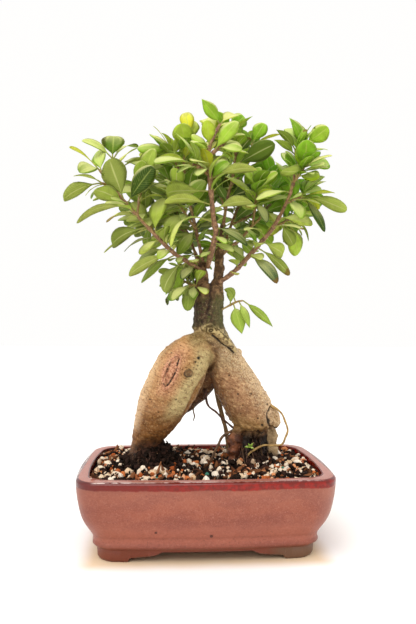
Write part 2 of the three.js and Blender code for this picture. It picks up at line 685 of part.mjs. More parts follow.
function leafSolid(leaf) {
  const axes = leafAxes(leaf);
  const joint = midrib(leaf, axes, STALK_SHARE);
  const stalk = [leaf.base, joint.spot].map((spot) => {
    const corner = (side, rise) => spot.clone().addScaledVector(axes.across, side * STALK_RADIUS)
      .addScaledVector(joint.upward, rise * STALK_RADIUS);
    return [corner(-1, 0.6), corner(1, 0.6), corner(0, -1)];
  });
  const blade = LEAF_RINGS.map((u) => {
    const { spot, upward } = midrib(leaf, axes, mix(STALK_SHARE, 1, u));
    const half = halfWidth(leaf, u);
    const corner = (side, face) => spot.clone().addScaledVector(axes.across, side * half)
      .addScaledVector(upward, Math.abs(side) * half * LEAF_FOLD + (face * LEAF_THICKNESS) / 2);
    return [corner(-1, 1), corner(0, 1), corner(1, 1), corner(1, -1), corner(0, -1), corner(-1, -1)];
  });
  return solid(skin([...stalk, ...blade, [leaf.tip]]));
}

// Points spread over a leaf, to measure how near it comes to others. Each has its share t along the leaf.
function leafSamples(leaf) {
  const axes = leafAxes(leaf);
  const samples = [];
  for (let i = 0; i <= 11; i += 1) {
    const t = (i + 0.5) / 12;
    const { spot, upward } = midrib(leaf, axes, t);
    const half = t < STALK_SHARE ? 0 : halfWidth(leaf, (t - STALK_SHARE) / (1 - STALK_SHARE));
    for (let k = -3; k <= 3; k += 1) {
      const side = k / 3.2;
      if (half > 0 || k === 0) {
        const at = spot.clone().addScaledVector(axes.across, side * half)
          .addScaledVector(upward, Math.abs(side) * half * LEAF_FOLD);
        samples.push({ at, t });
      }
    }
  }
  return samples;
}

// What a new leaf has to keep clear of: points with a radius and the name of the branch that they are on.
const taken = [];

function takeStem(name, route, radius) {
  for (let i = 0; i <= 24; i += 1) {
    const { spot } = along(route, i / 24);
    taken.push({ at: spot, radius: mix(radius[0], radius[1], i / 24), name });
  }
}

function isClear(name, samples) {
  return samples.every(({ at, t }) => taken.every((other) => {
    if (other.name === name && t < 0.35) return true;
    const room = other.radius + (other.name === name ? CLEAR_OF_OWN : CLEAR_OF_OTHERS);
    return at.distanceToSquared(other.at) >= room * room;
  }));
}

// The first of several ways for a leaf to lie that is clear of what is there, or none.
function placeLeaf(name, ways) {
  for (const leaf of ways) {
    const samples = leafSamples(leaf);
    if (isClear(name, samples)) {
      samples.filter(({ t }) => t > 0.3).forEach(({ at }) => taken.push({ at, radius: 0, name }));
      return [leaf];
    }
  }
  return [];
}

// A leaf set by hand; where its place is taken, its tip moves to the front or to the back.
function setLeaf(branch, stem, [at, x, y, z, width, facing, arch]) {
  const { spot } = along(stem.route, at);
  const turn = THREE.MathUtils.degToRad(facing);
  const up = new THREE.Vector3(0, -Math.cos(turn), Math.sin(turn));
  const ways = SHIFTS.map((shift) => {
    const tip = new THREE.Vector3(x, y + shift, z);
    return { base: spot, tip, up, width, arch, pointed: branch.pointed };
  });
  return placeLeaf(branch.name, ways);
}

// Leaf i of the spiral on a stem: it leans out less towards the stem's end, hangs where the crown is low and
// rises where it is high. Where its place is taken it swings round the stem.
function spiralLeaf(branch, stem, i, draw) {
  const at = mix(stem.from, 1, (i + 0.5) / stem.spiral);
  const { spot, way } = along(stem.route, at);
  const side = new THREE.Vector3(0, 1, 0).cross(way).normalize();
  const other = new THREE.Vector3().crossVectors(way, side);
  const lean = THREE.MathUtils.degToRad(mix(80, 34, at) + mix(-8, 8, draw()));
  const start = i * GOLDEN_TURN + mix(-20, 20, draw());
  const length = mix(...LEAF_LENGTHS, draw());
  const width = length * mix(...LEAF_WIDTH_SHARE, draw());
  const arch = mix(0.04, 0.14, draw());
  const tilt = mix(-0.35, 0.35, draw());
  const facing = mix(0.2, 1.1, draw());
  const rise = mix(-0.4, 0.3, share(spot.z, 225, 335));
  const ways = SWINGS.map((swing) => {
    const turn = THREE.MathUtils.degToRad(start + swing);
    const out = side.clone().multiplyScalar(Math.cos(turn)).addScaledVector(other, Math.sin(turn));
    const reach = way.clone().multiplyScalar(Math.cos(lean)).addScaledVector(out, Math.sin(lean));
    reach.z += rise;
    const tip = spot.clone().addScaledVector(reach.normalize(), length);
    const up = new THREE.Vector3(tilt, spot.y > CROWN_MIDDLE ? facing : -facing, 1);
    return { base: spot, tip, up, width, arch, pointed: branch.pointed };
  });
  const low = point(CROWN_LOW);
  const high = point(CROWN_HIGH);
  const crown = new THREE.Box3(low, high);
  return placeLeaf(branch.name, ways.filter(({ tip }) => crown.containsPoint(tip)));
}

function growLeaves(branches) {
  const leaves = new Map(branches.map(({ name }) => [name, []]));
  branches.forEach(({ name, stems }) => stems.forEach(({ route, radius }) => takeStem(name, route, radius)));
  for (const branch of branches) {
    for (const stem of branch.stems) {
      stem.set.forEach((row) => leaves.get(branch.name).push(...setLeaf(branch, stem, row)));
    }
  }
  const draw = drawer(41);
  for (const branch of branches) {
    for (const stem of branch.stems) {
      for (let i = 0; i < stem.spiral; i += 1) {
        leaves.get(branch.name).push(...spiralLeaf(branch, stem, i, draw));
      }
    }
  }
  return leaves;
}

function stemBar({ route, radius }, isTwig) {
  const last = route.length - 1;
  const thick = route.map((at, i) => [...at, mix(radius[0], radius[1], i / last)]);
  return bar(thick, isTwig ? TWIG_SIDES : STEM_SIDES);
}

function makeBranch(branch, leaves, wood) {
  const stems = branch.stems.map((stem, i) => solid(stemBar(stem, i > 0)));
  const whole = fuse([...stems, ...leaves.map(leafSolid)]).subtract(wood);
  return node(branch.name, whole, branch.pointed ? 0x9cbb4c : 0x6f8f38, 0.45);
}

// ---- the whole plant in its pot ----

const everyBranch = [...BRANCHES, SHOOT];
const leaves = growLeaves(everyBranch);
const grownWood = fuse([
  bar(TRUNK, 14, undefined, GAP + 0.9),
  ...STUBS.map((route) => bar(route, 8, undefined, GAP + 0.1)),
].map(solid));

const pieces = new THREE.Group();
pieces.add(makePot());
drainPositions().forEach((x, i) => pieces.add(makeDrainMesh(i ? 'drain_mesh_right' : 'drain_mesh_left', x)));
pieces.add(makeSoil(rootBars(GAP + 0.1)));
pieces.add(makeTree());
everyBranch.forEach((branch) => pieces.add(makeBranch(branch, leaves.get(branch.name), grownWood)));
pieces.position.set(...MIDDLE).negate();

const bonsai = new THREE.Group();
bonsai.add(pieces);

export default bonsai;
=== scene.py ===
"""A potted fig bonsai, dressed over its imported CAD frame.

Shapes are worked out in millimetres from the middle of the pot's footprint, the ground at 0 and the front
towards -Y, and are put into the frame's metres when a mesh is made.
"""
import math

import bmesh
import bpy
import numpy as np
from bpy.props import FloatProperty, FloatVectorProperty, IntProperty, PointerProperty
from bpy.types import Operator, Panel, PropertyGroup
from mathutils import Matrix, Vector


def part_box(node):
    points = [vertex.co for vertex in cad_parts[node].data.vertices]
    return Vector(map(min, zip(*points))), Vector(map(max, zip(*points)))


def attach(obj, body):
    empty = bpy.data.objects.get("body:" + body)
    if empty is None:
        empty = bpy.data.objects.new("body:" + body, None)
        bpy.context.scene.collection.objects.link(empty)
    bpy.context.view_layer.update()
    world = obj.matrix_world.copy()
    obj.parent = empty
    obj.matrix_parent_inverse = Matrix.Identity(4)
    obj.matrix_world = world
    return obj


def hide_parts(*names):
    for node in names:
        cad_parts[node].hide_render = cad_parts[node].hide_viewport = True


bl_info = {
    "name": "Potted fig bonsai",
    "version": (1, 0, 0),
    "blender": (4, 5, 0),
    "location": "3D View > Sidebar > Bonsai",
    "description": "Dresses the packed solids of a potted fig bonsai with its finished surfaces",
    "category": "Object",
}

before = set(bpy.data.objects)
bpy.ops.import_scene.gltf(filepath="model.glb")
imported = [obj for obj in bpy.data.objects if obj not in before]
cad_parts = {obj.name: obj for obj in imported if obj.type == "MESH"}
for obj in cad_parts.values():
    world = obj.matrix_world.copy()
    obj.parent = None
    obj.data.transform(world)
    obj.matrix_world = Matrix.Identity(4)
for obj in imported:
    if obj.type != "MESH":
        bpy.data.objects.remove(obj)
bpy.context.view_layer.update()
MM = 0.001


def pot_middle():
    """The middle of the pot's box seen from above, on the ground, in metres."""
    low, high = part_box("pot")
    return np.array([(low[0] + high[0]) / 2, (low[1] + high[1]) / 2, 0.0])


MIDDLE = pot_middle()

# ---- the pot, in millimetres ----

POT_LENGTH = 203
POT_DEPTH = 145
POT_HEIGHT = 62.5
POT_CORNER = 20
FRONT_BOW = 3.5
SIDE_BOW = 3
CORNER_EASE = 3
FLOOR_UNDERSIDE = 8.5
FLOOR_TOP = 14
FOOT_LENGTH = 26.5
FOOT_INSET = 15.5
FOOT_WIDTH = 13
SIDE_FOOT_SHORTER = 4
FOOT_BAND_TOP = 9
DRAIN_RADIUS = 8
DRAIN_SPACING = 84
DRILL_HEIGHT = 11
DRILL_LENGTH = 12
# Edges of the pot that turn more than this many degrees are sharp, and a faint seam runs round it this high.
POT_SHARP_ANGLE = 38
SEAM_HEIGHT = 19.4
# The wall as [height, distance in from the rim].
FOOT_BAND = [[0, 17.4], [0.5, 16.7], [2.4, 15.7], [9, 15.3]]
WALL_OUTSIDE = [
    [9, 15.3], [10, 14.4], [11.2, 12.9], [12.4, 12.2], [13.8, 12.3], [15, 12.7], [16.4, 12.6], [19, 11.8],
    [23.4, 9.2], [29, 6], [36, 3.4], [47, 1.2], [56, 0.2], [59.5, 0], [61, 0.3], [62.1, 1.3], [62.5, 2.6],
]
WALL_INSIDE = [[62.5, 7.8], [62, 8.9], [61, 9.6], [44, 10.6], [28, 14.5], [17, 21.5], [14, 26]]
# Pinholes in the glaze on the front: x, height, radius.
PINHOLES = [[-38.5, 24.7, 1.3], [2.2, 21.1, 1.7]]
# The lip's flat top, as distances in from the rim.
LIP_INSETS = (4, 6)
# The rise of the arch between two feet as [distance in from the toe, height].
FOOT_STEP = [[0, 0], [1, 1.2], [1.8, 2.6], [4, 3], [17, 4.2], [21.5, 5.2], [26, 7.5]]

# ---- the soil ----

SOIL_INSET = 10.5
SOIL_EDGE_HEIGHT = 58.8
SOIL_CROWN = 2.6
SOIL_HEAPS = [[-45, 0, 25, 13], [42, 0, 24, 9]]
HEAP_STEEPNESS = 1.6
# The bed's sides as [height, distance in from the rim], the steps of its outline and the rings over its top.
BED_SIDES = [[14.4, 26.4], [20, 19.6], [28, 14.9], [44, 11], [57, SOIL_INSET]]
BED_STEPS = (44, 12, 70)
BED_RINGS = 56
# How far the bed reaches from the middle along x and y before its lumps die out.
BED_REACH = [91, 62]
# The room for grains inside the wall: where its straight parts end, its round corners and its bowed long
# sides, whose reach is the depth in the middle and less by the bow at the length.
ROOM_STRAIGHT = [76, 47]
ROOM_CORNER = 13
ROOM_LENGTH = 90
ROOM_DEPTH = 61
ROOM_BOW = 3.4
GRAIN_RINGS = 4
GRAIN_SIDES = 7
GRAIN_SHARP_ANGLE = 50
# Dark chips on each peaty mound, and the share of the other grains that lie beside one of their kind.
PEAT_GRAINS = 260
SHARE_IN_PAIRS = 0.35
# Peaty mounds round the feet: x, y, radius.
MOUNDS = [[-42, -9, 30], [40, -6, 21]]
# Slow feed beads among the grains: x, y, size; and a bark sliver that stands up.
BEADS = [[-38.6, -51.5, 3.2], [-0.1, -46, 3.4], [62, -30, 2.8], [-80, 18, 2.8]]
UPRIGHT_SLIVER = [
    [-38.9, -42, 58, 1.0], [-38.2, -42, 62, 1.2], [-36.8, -42, 67, 0.9], [-35.4, -42, 71.5, 0.3],
]
# Peat thrown up against the feet: x, y, radius, height.
PEAT_HEAPS = [[-47, -17, 12, 6.5], [-33, -10, 8, 9], [38, -10, 12, 3.5], [-62, -8, 8, 2]]

# ---- the wood: points [x, y, z, radius] along each root and stem ----

TRUNK = [
    [5, 1, 154, 13], [4.5, 0, 162, 16.6], [4.4, 0, 167, 15.8], [3.8, 0, 174, 12.6], [3.6, 0, 188, 11.8],
    [3.6, 0, 202, 11.7], [3.8, 0, 209, 10.6], [4, 0, 213, 7.5],
]
LEFT_ROOT = [
    [-1, -5, 162, 11.5], [-12.5, -12.5, 151.5, 18.2], [-22, -15.5, 138.5, 21.6], [-32, -16, 119, 20.8],
    [-40.5, -12, 101, 17.8], [-45.5, -8, 88, 13.6], [-48.5, -5, 77, 12], [-50, -3, 66, 12.4],
    [-50, -2, 50, 8], [-50, -2, 36, 4],
]
RIGHT_ROOT = [
    [6, 2, 167, 10], [14, -0.5, 155, 13.4], [21, -4, 138, 16.6], [31, -6, 119, 18.6], [40, -5, 104, 18.8],
    [46, -4, 95, 15.4], [48, -4, 89, 9],
]
BACK_ROOT = [
    [4, 4, 156, 11], [3, 9, 142, 13], [-1, 14, 128, 12.2], [-14, 19, 113, 11], [-26, 22, 102, 10],
    [-37, 24, 89, 8.6], [-43, 25, 76, 8], [-46, 25, 58, 6], [-47, 25, 42, 3],
]
SHORT_ROOTS = [
    [[50, -2, 108, 7], [57, -4, 101, 7], [60, -6, 93, 4.6]],
    [[33, -7, 99, 5], [27, -8, 86, 4.6], [25, -8, 72, 5], [25, -8, 54, 3.4]],
    [[54, -2, 100, 4], [59, -3, 85, 3], [59, -2, 66, 2.6], [58, -2, 48, 2]],
    [[47, -6, 94, 3.4], [49, -10, 76, 2.4], [46, -13, 60, 2.2], [46, -13, 48, 1.4]],
    [[48, 2, 97, 4], [51, 4, 74, 3.4], [50, 6, 50, 2]],
    [[38, 4, 100, 4.6], [35, 8, 78, 4], [33, 10, 48, 2]],
    [[40, -8, 96, 3], [36, -11, 78, 2.2], [39, -13, 62, 2], [41, -13, 50, 1.4]],
]
# The peaty clump of fine roots under the right root, inside the ring of short roots.
ROOT_CLUMP = [
    [[42, 1, 96, 12], [43, 2, 84, 9.5], [43, 1, 72, 8.6], [42, 0, 62, 11], [42, 0, 50, 8]],
    [[34, -3, 90, 6], [33, -4, 78, 5.4], [34, -4, 66, 6], [34, -4, 54, 5]],
    [[51, 0, 90, 5.6], [52, -1, 78, 5], [52, -1, 64, 5], [52, -1, 54, 4]],
]
# The knob on the right root's outer end.
SIDE_KNOB = [
    [50, -7, 106, 5], [56, -8, 105.5, 4.6], [58.8, -9, 100, 4.4], [58.4, -9, 95, 4], [57, -9, 92, 2.6],
]
THIN_ROOTS = [
    [[11, 11, 128, 3], [13, 15, 116, 2.4], [17, 15, 98, 2], [21, 15, 82, 1.8], [24, 15, 52, 1.6]],
    [
        [1, 2, 122, 2], [3, -4, 110, 1.2], [10, -5, 104, 1.1], [16, -5, 98, 1.1], [23, -6, 92, 1.2],
        [28, -8, 88, 1.2],
    ],
    [[26, -7, 90, 1.6], [16, -6, 84, 1.3], [12, -6, 77, 1.3], [6, -6, 64, 1.2], [4, -6, 52, 1.1]],
    [
        [54, -12, 111, 1.5], [63, -15, 105, 0.9], [67, -15, 97, 0.9], [69, -15, 90, 0.9], [67, -15, 84, 0.9],
        [64, -15, 78.5, 0.9], [56, -15, 77.6, 0.9], [49, -15, 77.8, 0.9], [42, -15, 74.7, 0.9],
        [36, -15, 70, 0.9], [31, -15, 60, 0.9], [30, -15, 50, 0.9],
    ],
]
# How golden each thin root is, and its share of the solid's thickness.
THIN_ROOT_SHARES = [[0.55, 1.0], [0.0, 0.75], [0.15, 0.8], [1.0, 0.95]]
HANGING_ROOTLET = [[-8, 6, 110, 0.8], [-8.8, 5, 104, 0.6], [-7.8, 4.6, 99, 0.65], [-9.2, 4, 94.5, 0.25]]
# Hairs round a foot: x, y, radius of the ring, lowest and highest start, reach, count.
HAIR_RINGS = [
    [-49, -4, 10, 68, 77, 16, 44], [42, -2, 11, 66, 84, 14, 90],
    [30, -8, 4, 64, 80, 10, 30], [-40, 22, 8, 66, 76, 14, 30],
]
STUBS = [
    [[-1, 0, 200, 7], [-2.4, 0.4, 214, 5.8], [-2, 0.6, 226, 4.4], [-1.4, 0.6, 231, 2.8]],
    [
        [9, 0, 200, 7.4], [11.2, 1.4, 214, 5], [12.8, 3, 228, 3.8], [13.8, 4.6, 242, 3],
        [15, 7, 256, 2.2], [16.4, 9.6, 265, 1.2],
    ],
]
# The lump of healed wood along the graft, and the knots where side roots and shoots were cut away.
GRAFT_LUMP = [
    [-0.5, -9, 176, 4], [5, -12.5, 172, 5], [13, -12.5, 165, 5.6], [21, -10, 157, 5], [27, -8, 150, 2.6],
]
CUT_KNOTS = [
    [[-15, -30, 137, 3.4], [-14.8, -34.6, 137, 2.6]],
    [[33, -21, 128, 3], [33.6, -24.2, 128, 2]],
]

# ---- the branches ----

def stem_of(route, radius, spiral, start, *leaves):
    """A stem: its points, its radius at both ends, how many leaves its spiral has and from which share of the
    way on. Each leaf set on it is a row: the share of the way along, the tip's x, y and z, the width, the
    turn of the upper face in degrees and the arch."""
    return {"route": route, "radius": radius, "spiral": spiral, "from": start, "set": leaves}


BRANCHES = [
    {"name": "branch_left", "stems": [
        stem_of(
            [
                [-3, -3, 224], [-18, -10, 232], [-28, -14, 238], [-47, -18, 256], [-64, -20, 274],
                [-75, -22, 287], [-88, -22, 303],
            ], [2, 1.1], 3, 0.3,
            [1, -100, -44, 295, 14, 30, 0.1], [1, -113, -14, 324, 8, 90, 0.05],
            [0.97, -93, -4, 326, 14, 0, 0.05], [0.73, -79, -30, 311, 21, 180, 0.05],
            [0.7, -44, -26, 306, 17, 20, 0.05], [0.7, -89, -34, 282, 15, 150, 0.1],
            [0.66, -105, -34, 259, 11, 120, 0.2], [0.58, -79, -44, 257, 11, 120, 0.15],
            [0.49, -76, -34, 240, 15, 110, 0.26], [0.48, -85, -8, 237, 7, 90, 0.05],
            [0.39, -69, -4, 240, 11, 60, 0.1], [0.29, -60, 12, 228, 20, 30, 0.12],
            [0.26, -63, -34, 216, 11, 150, 0.05], [0.22, -55, 4, 214, 12, 30, 0.1],
            [0.16, -35, -26, 203, 14, 150, 0.15], [0.13, -31, -2, 205, 19, 20, 0.12],
            [0.06, -20, -22, 215, 10, 40, 0.1],
        ),
        stem_of(
            [[-76, -22, 289], [-85, -30, 290]], [1.2, 1], 0, 0,
            [0.98, -113, -40, 274, 13, 140, 0.2], [0.92, -106, -36, 294, 10, 95, 0.1],
        ),
        stem_of(
            [[-75, -22, 287], [-77, -10, 304], [-79, -4, 318]], [1.3, 1], 1, 0.3,
            [0.99, -104, -2, 332, 11, 60, 0.1], [1, -78, 10, 338, 20, 0, 0.05],
            [0.94, -61, 14, 342, 12, 90, 0.1], [0.5, -49, 0, 320, 12, 90, 0.1],
        ),
        stem_of([[-57, -19, 267], [-55, -4, 290], [-51, 10, 311]], [1.4, 1], 5, 0.2),
        stem_of([[-42, -17, 251], [-48, 8, 266], [-58, 28, 286]], [1.4, 1], 4, 0.3),
    ]},
    {"name": "branch_centre_left", "stems": [
        stem_of(
            [[-1, 2, 230], [-6, 9, 255], [-12, 18, 284], [-17, 26, 306]], [1.9, 1.2], 3, 0.3,
            [0.4, -23, -2, 238, 12, 30, 0.1],
        ),
        stem_of(
            [[-7, 11, 261], [-20, -2, 277], [-28, -12, 290]], [1.4, 1], 3, 0.3,
            [1, -58, -28, 268, 9, 110, 0.3], [0.44, -33, -16, 254, 14, 40, 0.1],
        ),
        stem_of([[-12, 19, 286], [-28, 38, 306], [-38, 50, 328]], [1.4, 1], 5, 0.15),
        stem_of(
            [[-15, 24, 300], [-18, 16, 320], [-16, 10, 333], [-13, 8, 343]], [1.4, 1], 2, 0.1,
            [0.93, -9, 14, 360, 12, 0, 0.05], [1, -15, 18, 367, 13, 0, 0.05],
            [0.76, -21, -4, 350, 19, 0, 0.05],
        ),
        stem_of(
            [[-16, 26, 306], [-26, 14, 322], [-32, 8, 334]], [1.3, 1], 2, 0.1,
            [0.9, -58, -2, 328, 13, 10, 0.05], [0.8, -58, -12, 320, 11, 120, 0.1],
            [1, -45, 12, 353, 7, 90, 0.05],
        ),
    ]},
    {"name": "branch_front", "stems": [
        stem_of(
            [
                [2, -4, 226], [6, -14, 243], [8, -20, 254], [6, -22, 263], [4, -25, 279], [2, -26, 301],
                [1, -26, 314], [2, -24, 325],
            ], [1.9, 1.2], 2, 0.6,
            [0.63, -33, -48, 278, 17, 160, 0.26], [0.52, -35, -44, 272, 12, 130, 0.1],
            [0.38, -30, -48, 238, 9, 100, 0.26], [0.48, 34, -48, 273, 13, 140, 0.15],
            [0.72, 38, -46, 300, 12, 130, 0.15], [0.79, -13, -50, 304, 16, 60, 0.1],
            [0.35, 33, -30, 242, 9, 30, 0.1], [0.96, -13, -42, 321, 13, 60, 0.1],
            [0.99, -1, -36, 341, 12, 10, 0.05],
        ),
        stem_of(
            [[1, -26, 314], [7, -23, 321], [16, -19, 330]], [1.2, 1], 2, 0.3,
            [0.31, 25, -26, 345, 14, 20, 0.08], [0.55, 28, -38, 319, 12, 30, 0.1],
        ),
        stem_of(
            [[2, -26, 299], [-6, -34, 303], [-13, -38, 304]], [1.2, 1], 1, 0.4,
            [1, -41, -50, 305, 12, 130, 0.15], [0.9, -42, -44, 299, 13, 60, 0.1],
        ),
        stem_of(
            [[2, -24, 323], [5, -18, 333], [12, -10, 348]], [1.2, 1], 3, 0.3,
            [0.98, -4, -18, 366, 12, 20, 0.05], [0.3, 1, -6, 356, 12, 0, 0.05],
        ),
    ]},
    {"name": "branch_centre_right", "stems": [
        stem_of(
            [[14, 5, 243], [18, 12, 272], [22, 18, 294], [26, 22, 310], [29, 25, 328], [31, 25, 340]],
            [1.9, 1.1], 3, 0.4,
            [0.83, 62, 4, 337, 18, 160, 0.1],
        ),
        stem_of(
            [[24, 20, 302], [38, 32, 321], [46, 38, 338], [46, 36, 348]], [1.4, 1], 3, 0.3,
            [1, 57, 32, 366, 15, 10, 0.08], [0.96, 75, 24, 358, 7, 95, 0.05],
        ),
        stem_of(
            [[30, 25, 332], [24, 18, 343], [21, 12, 350]], [1.2, 1], 1, 0.2,
            [0.99, 11, 4, 365, 11, 20, 0.05], [1, 36, 16, 366, 15, 0, 0.08],
            [0.7, 40, -4, 356, 9, 60, 0.08],
        ),
        stem_of([[19, 14, 280], [14, 38, 306], [8, 54, 331]], [1.5, 1], 5, 0.2),
    ]},
    {"name": "branch_right", "stems": [
        stem_of(
            [
                [12, -2, 214], [20, -4, 219], [30, -6, 228], [45, -8, 245], [58, -10, 261], [68, -11, 280],
                [73, -12, 293], [76, -12, 306], [77, -11, 319], [77, -10, 328],
            ], [2.6, 1.1], 3, 0.45,
            [0.99, 58, -22, 341, 9, 100, 0.1], [0.96, 54, -32, 329, 8, 100, 0.05],
            [0.82, 72, 4, 334, 12, 20, 0.08], [0.72, 40, -30, 279, 12, 50, 0.1],
            [0.48, 78, -34, 255, 6, 60, 0.08], [0.4, 30, -36, 254, 10, 60, 0.1],
            [0.37, 62, -34, 234, 13, 160, 0.1], [0.32, 70, -20, 219, 9, 130, 0.08],
            [0.25, 58, -26, 212, 13, 40, 0.12],
        ),
        stem_of(
            [[74, -12, 298], [79, -18, 305], [82, -21, 310]], [1.3, 1], 0, 0,
            [0.95, 81, -34, 328, 19, 0, 0.05], [1, 103, -30, 317, 9, 60, 0.05],
            [0.97, 107, -8, 318, 15, 20, 0.05], [0.9, 57, -44, 300, 14, 140, -0.08],
        ),
        stem_of(
            [[68, -11, 281], [78, -8, 286], [86, -5, 289]], [1.3, 1], 0, 0,
            [0.9, 110, -14, 291, 9, 110, 0.08], [0.73, 107, 4, 305, 10, 60, 0.1],
            [0.99, 118, -22, 274, 12, 140, 0.1], [0.31, 76, -32, 264, 14, 20, 0.1],
            [0.88, 100, -18, 256, 10, 30, 0.1], [0.14, 76, -32, 284, 10, 20, 0.05],
        ),
        stem_of(
            [[76, -11, 314], [83, -4, 327], [87, 0, 335]], [1.3, 1], 2, 0.2,
            [0.98, 71, -14, 354, 14, 20, 0.05], [0.89, 72, 8, 353, 12, 20, 0.08],
            [1, 106, -8, 349, 16, 10, 0.05],
        ),
        stem_of(
            [[57, -10, 260], [71, 8, 269], [86, 24, 279]], [1.5, 1], 4, 0.35,
            [0.35, 77, 0, 247, 12, 150, 0.1], [0.84, 94, 14, 253, 8, 100, 0.1],
        ),
    ]},
    {"name": "branch_back_right", "stems": [
        stem_of(
            [
                [15, 4, 238], [24, 9, 247], [31, 12, 252], [42, 16, 265], [52, 20, 276], [59, 26, 294],
                [64, 30, 310],
            ], [1.7, 1.1], 2, 0.5,
            [0.97, 40, 12, 308, 10, 60, 0.1], [1, 58, 14, 335, 12, 0, 0.08],
        ),
        stem_of([[52, 20, 276], [66, 38, 294], [80, 50, 308]], [1.4, 1], 6, 0.2),
        stem_of(
            [[44, 17, 268], [45, 6, 285], [45, 0, 297]], [1.3, 1], 3, 0.3,
            [0.58, 50, -22, 262, 9, 40, 0.1],
        ),
    ]},
    {"name": "branch_back_left", "stems": [
        stem_of(
            [[-3, 3, 226], [-9, 19, 246], [-16, 34, 266], [-25, 48, 286], [-31, 56, 306]],
            [1.8, 1.1], 6, 0.35,
        ),
        stem_of([[-15, 32, 263], [-34, 42, 272], [-50, 48, 283]], [1.4, 1], 6, 0.25),
        stem_of([[-23, 46, 283], [-14, 60, 305], [-8, 66, 322]], [1.4, 1], 6, 0.2),
    ]},
    {"name": "branch_back_middle", "stems": [
        stem_of(
            [[12, 5, 234], [21, 25, 256], [30, 42, 279], [39, 54, 301], [44, 60, 319]], [1.8, 1.1], 6, 0.35,
        ),
        stem_of([[27, 36, 271], [46, 48, 282], [62, 56, 292]], [1.4, 1], 6, 0.3),
        stem_of([[35, 49, 290], [28, 64, 310], [24, 70, 327]], [1.4, 1], 6, 0.2),
    ]},
    {"name": "twigs_low", "stems": [
        stem_of(
            [[-5, -1, 210], [-11, -4, 211], [-14, -8, 209]], [1.2, 1], 0, 0,
            [0.95, -15, -16, 189, 11, 0, 0.1], [0.7, -28, -16, 197, 9, 60, 0.1],
        ),
        stem_of([[-9, -3, 210.5], [-15, 4, 214], [-20, 8, 216]], [1.1, 1], 2, 0.4),
    ]},
]

# The pale shoot of the rootstock, whose leaves are pointed.
SHOOT = {"name": "rootstock_shoot", "pointed": True, "stems": [
    stem_of(
        [[12, -3, 189], [21, -6, 194], [27, -8, 197], [32, -9, 198]], [1.1, 0.8], 0, 0,
        [1, 57, -14, 176, 8, 140, 0.06], [0.85, 37, -16, 175, 7, 20, 0.08],
        [0.62, 31, -18, 170, 13, 10, 0.08], [0.72, 15, -16, 207, 8, 120, 0.3],
        [0.5, 18, -14, 206, 6, 60, 0.1],
    ),
]}


# ---- the leaves ----

STALK_SHARE = 0.16
LEAF_FOLD = 0.16
SIDE_VEINS = 15
FULL_TURN = 6.2832
# The middle of the brown blotch high on the left: x and z.
SPOT = [-87, 330]
LEAF_LENGTHS = [27, 36]
LEAF_WIDTH_SHARE = [0.46, 0.58]
GOLDEN_TURN = 137.5
# The room that a leaf keeps from other branches and from its own.
CLEAR_OF_OTHERS = 3
CLEAR_OF_OWN = 2.2
# The furthest that anything keeps from a leaf, and the shares of a leaf's length up to which it may touch its
# own branch and up to which others may touch it.
WIDEST_GAP = 7
FREE_SHARE = 0.35
STALK_END = 0.3
# What is tried in turn where a leaf's place is taken: shifts of its tip in y, and degrees round the stem.
SHIFTS = [0, 6, -6, 12, -12, 18, -18, 25, -25]
SWINGS = [0, 20, -20, 40, -40, 60, -60, 85, -85]
# The box that the tips of spiral leaves stay in, and the y where their upper faces turn from front to back.
CROWN_LOW = np.array([-112, -64, 196])
CROWN_HIGH = np.array([118, 92, 366])
CROWN_MIDDLE = 12
# Small leaves: the lengths of those in the gaps and of those low in the middle, the tries at the low ones and
# how high and how far out their tips go, and how near small leaves come to their own branch and to others.
EXTRA_LENGTHS = [17, 27]
LOW_LENGTHS = [14, 22]
LOW_LEAF_TRIES = 90
LOW_TOP = 268
LOW_REACH = 45
TIGHT = [1.3, 1.6]
# Parts into which a stem is cut for leaves to keep clear of it.
STEM_PARTS = 24

EVERY_BRANCH = [*BRANCHES, SHOOT]


# ---- numbers and noise ----

def drawer(seed):
    """A repeatable draw between 0 and 1: a linear congruential sequence."""
    state = seed

    def draw():
        nonlocal state
        state = (state * 1664525 + 1013904223) % 4294967296
        return state / 4294967296

    return draw


def mix(low, high, share):
    """Straight blend from low to high."""
    return low + (high - low) * share


def share_of(value, low, high):
    """How far value is from low to high, held between 0 and 1."""
    return np.clip((value - low) / (high - low), 0, 1)


def smooth(value, low, high):
    """share_of with its ends eased: 3t^2 - 2t^3."""
    t = share_of(value, low, high)
    return t * t * (3 - 2 * t)


def bell(distance, width):
    """1 at distance 0, falling off as exp(-(d / w)^2)."""
    return np.exp(-((distance / width) ** 2))


def unit(vectors):
    """Vectors scaled to length 1."""
    return vectors / np.maximum(np.linalg.norm(vectors, axis=-1, keepdims=True), 1e-12)


def lattice_noise(points, size, seed):
    """Smooth noise between -1 and 1: a random number at each corner of a lattice of cells of this size,
    blended between the eight corners of the cell with eased shares."""
    at = np.asarray(points, float) / size
    cell = np.floor(at).astype(np.int64)
    part = at - cell
    part = part * part * (3 - 2 * part)
    total = 0
    for corner in np.ndindex(2, 2, 2):
        key = cell + corner
        value = key[..., 0] * 73856093 ^ key[..., 1] * 19349663 ^ key[..., 2] * 83492791 ^ (seed * 2654435761)
        value = (value & 0xFFFFFFFF) * 2246822519 & 0xFFFFFFFF
        value = (value ^ (value >> 15)) * 3266489917 & 0xFFFFFFFF
        value = (value ^ (value >> 13)) / 0xFFFFFFFF
        weight = np.prod(np.where(np.array(corner), part, 1 - part), axis=-1)
        total = total + weight * (2 * value - 1)
    return total


def rough_noise(points, size, octaves, seed):
    """Lattice noise with finer and weaker copies added, each half the size and a bit over half the depth."""
    return sum(lattice_noise(points, size / 2**i, seed + i) * 0.55**i for i in range(octaves))


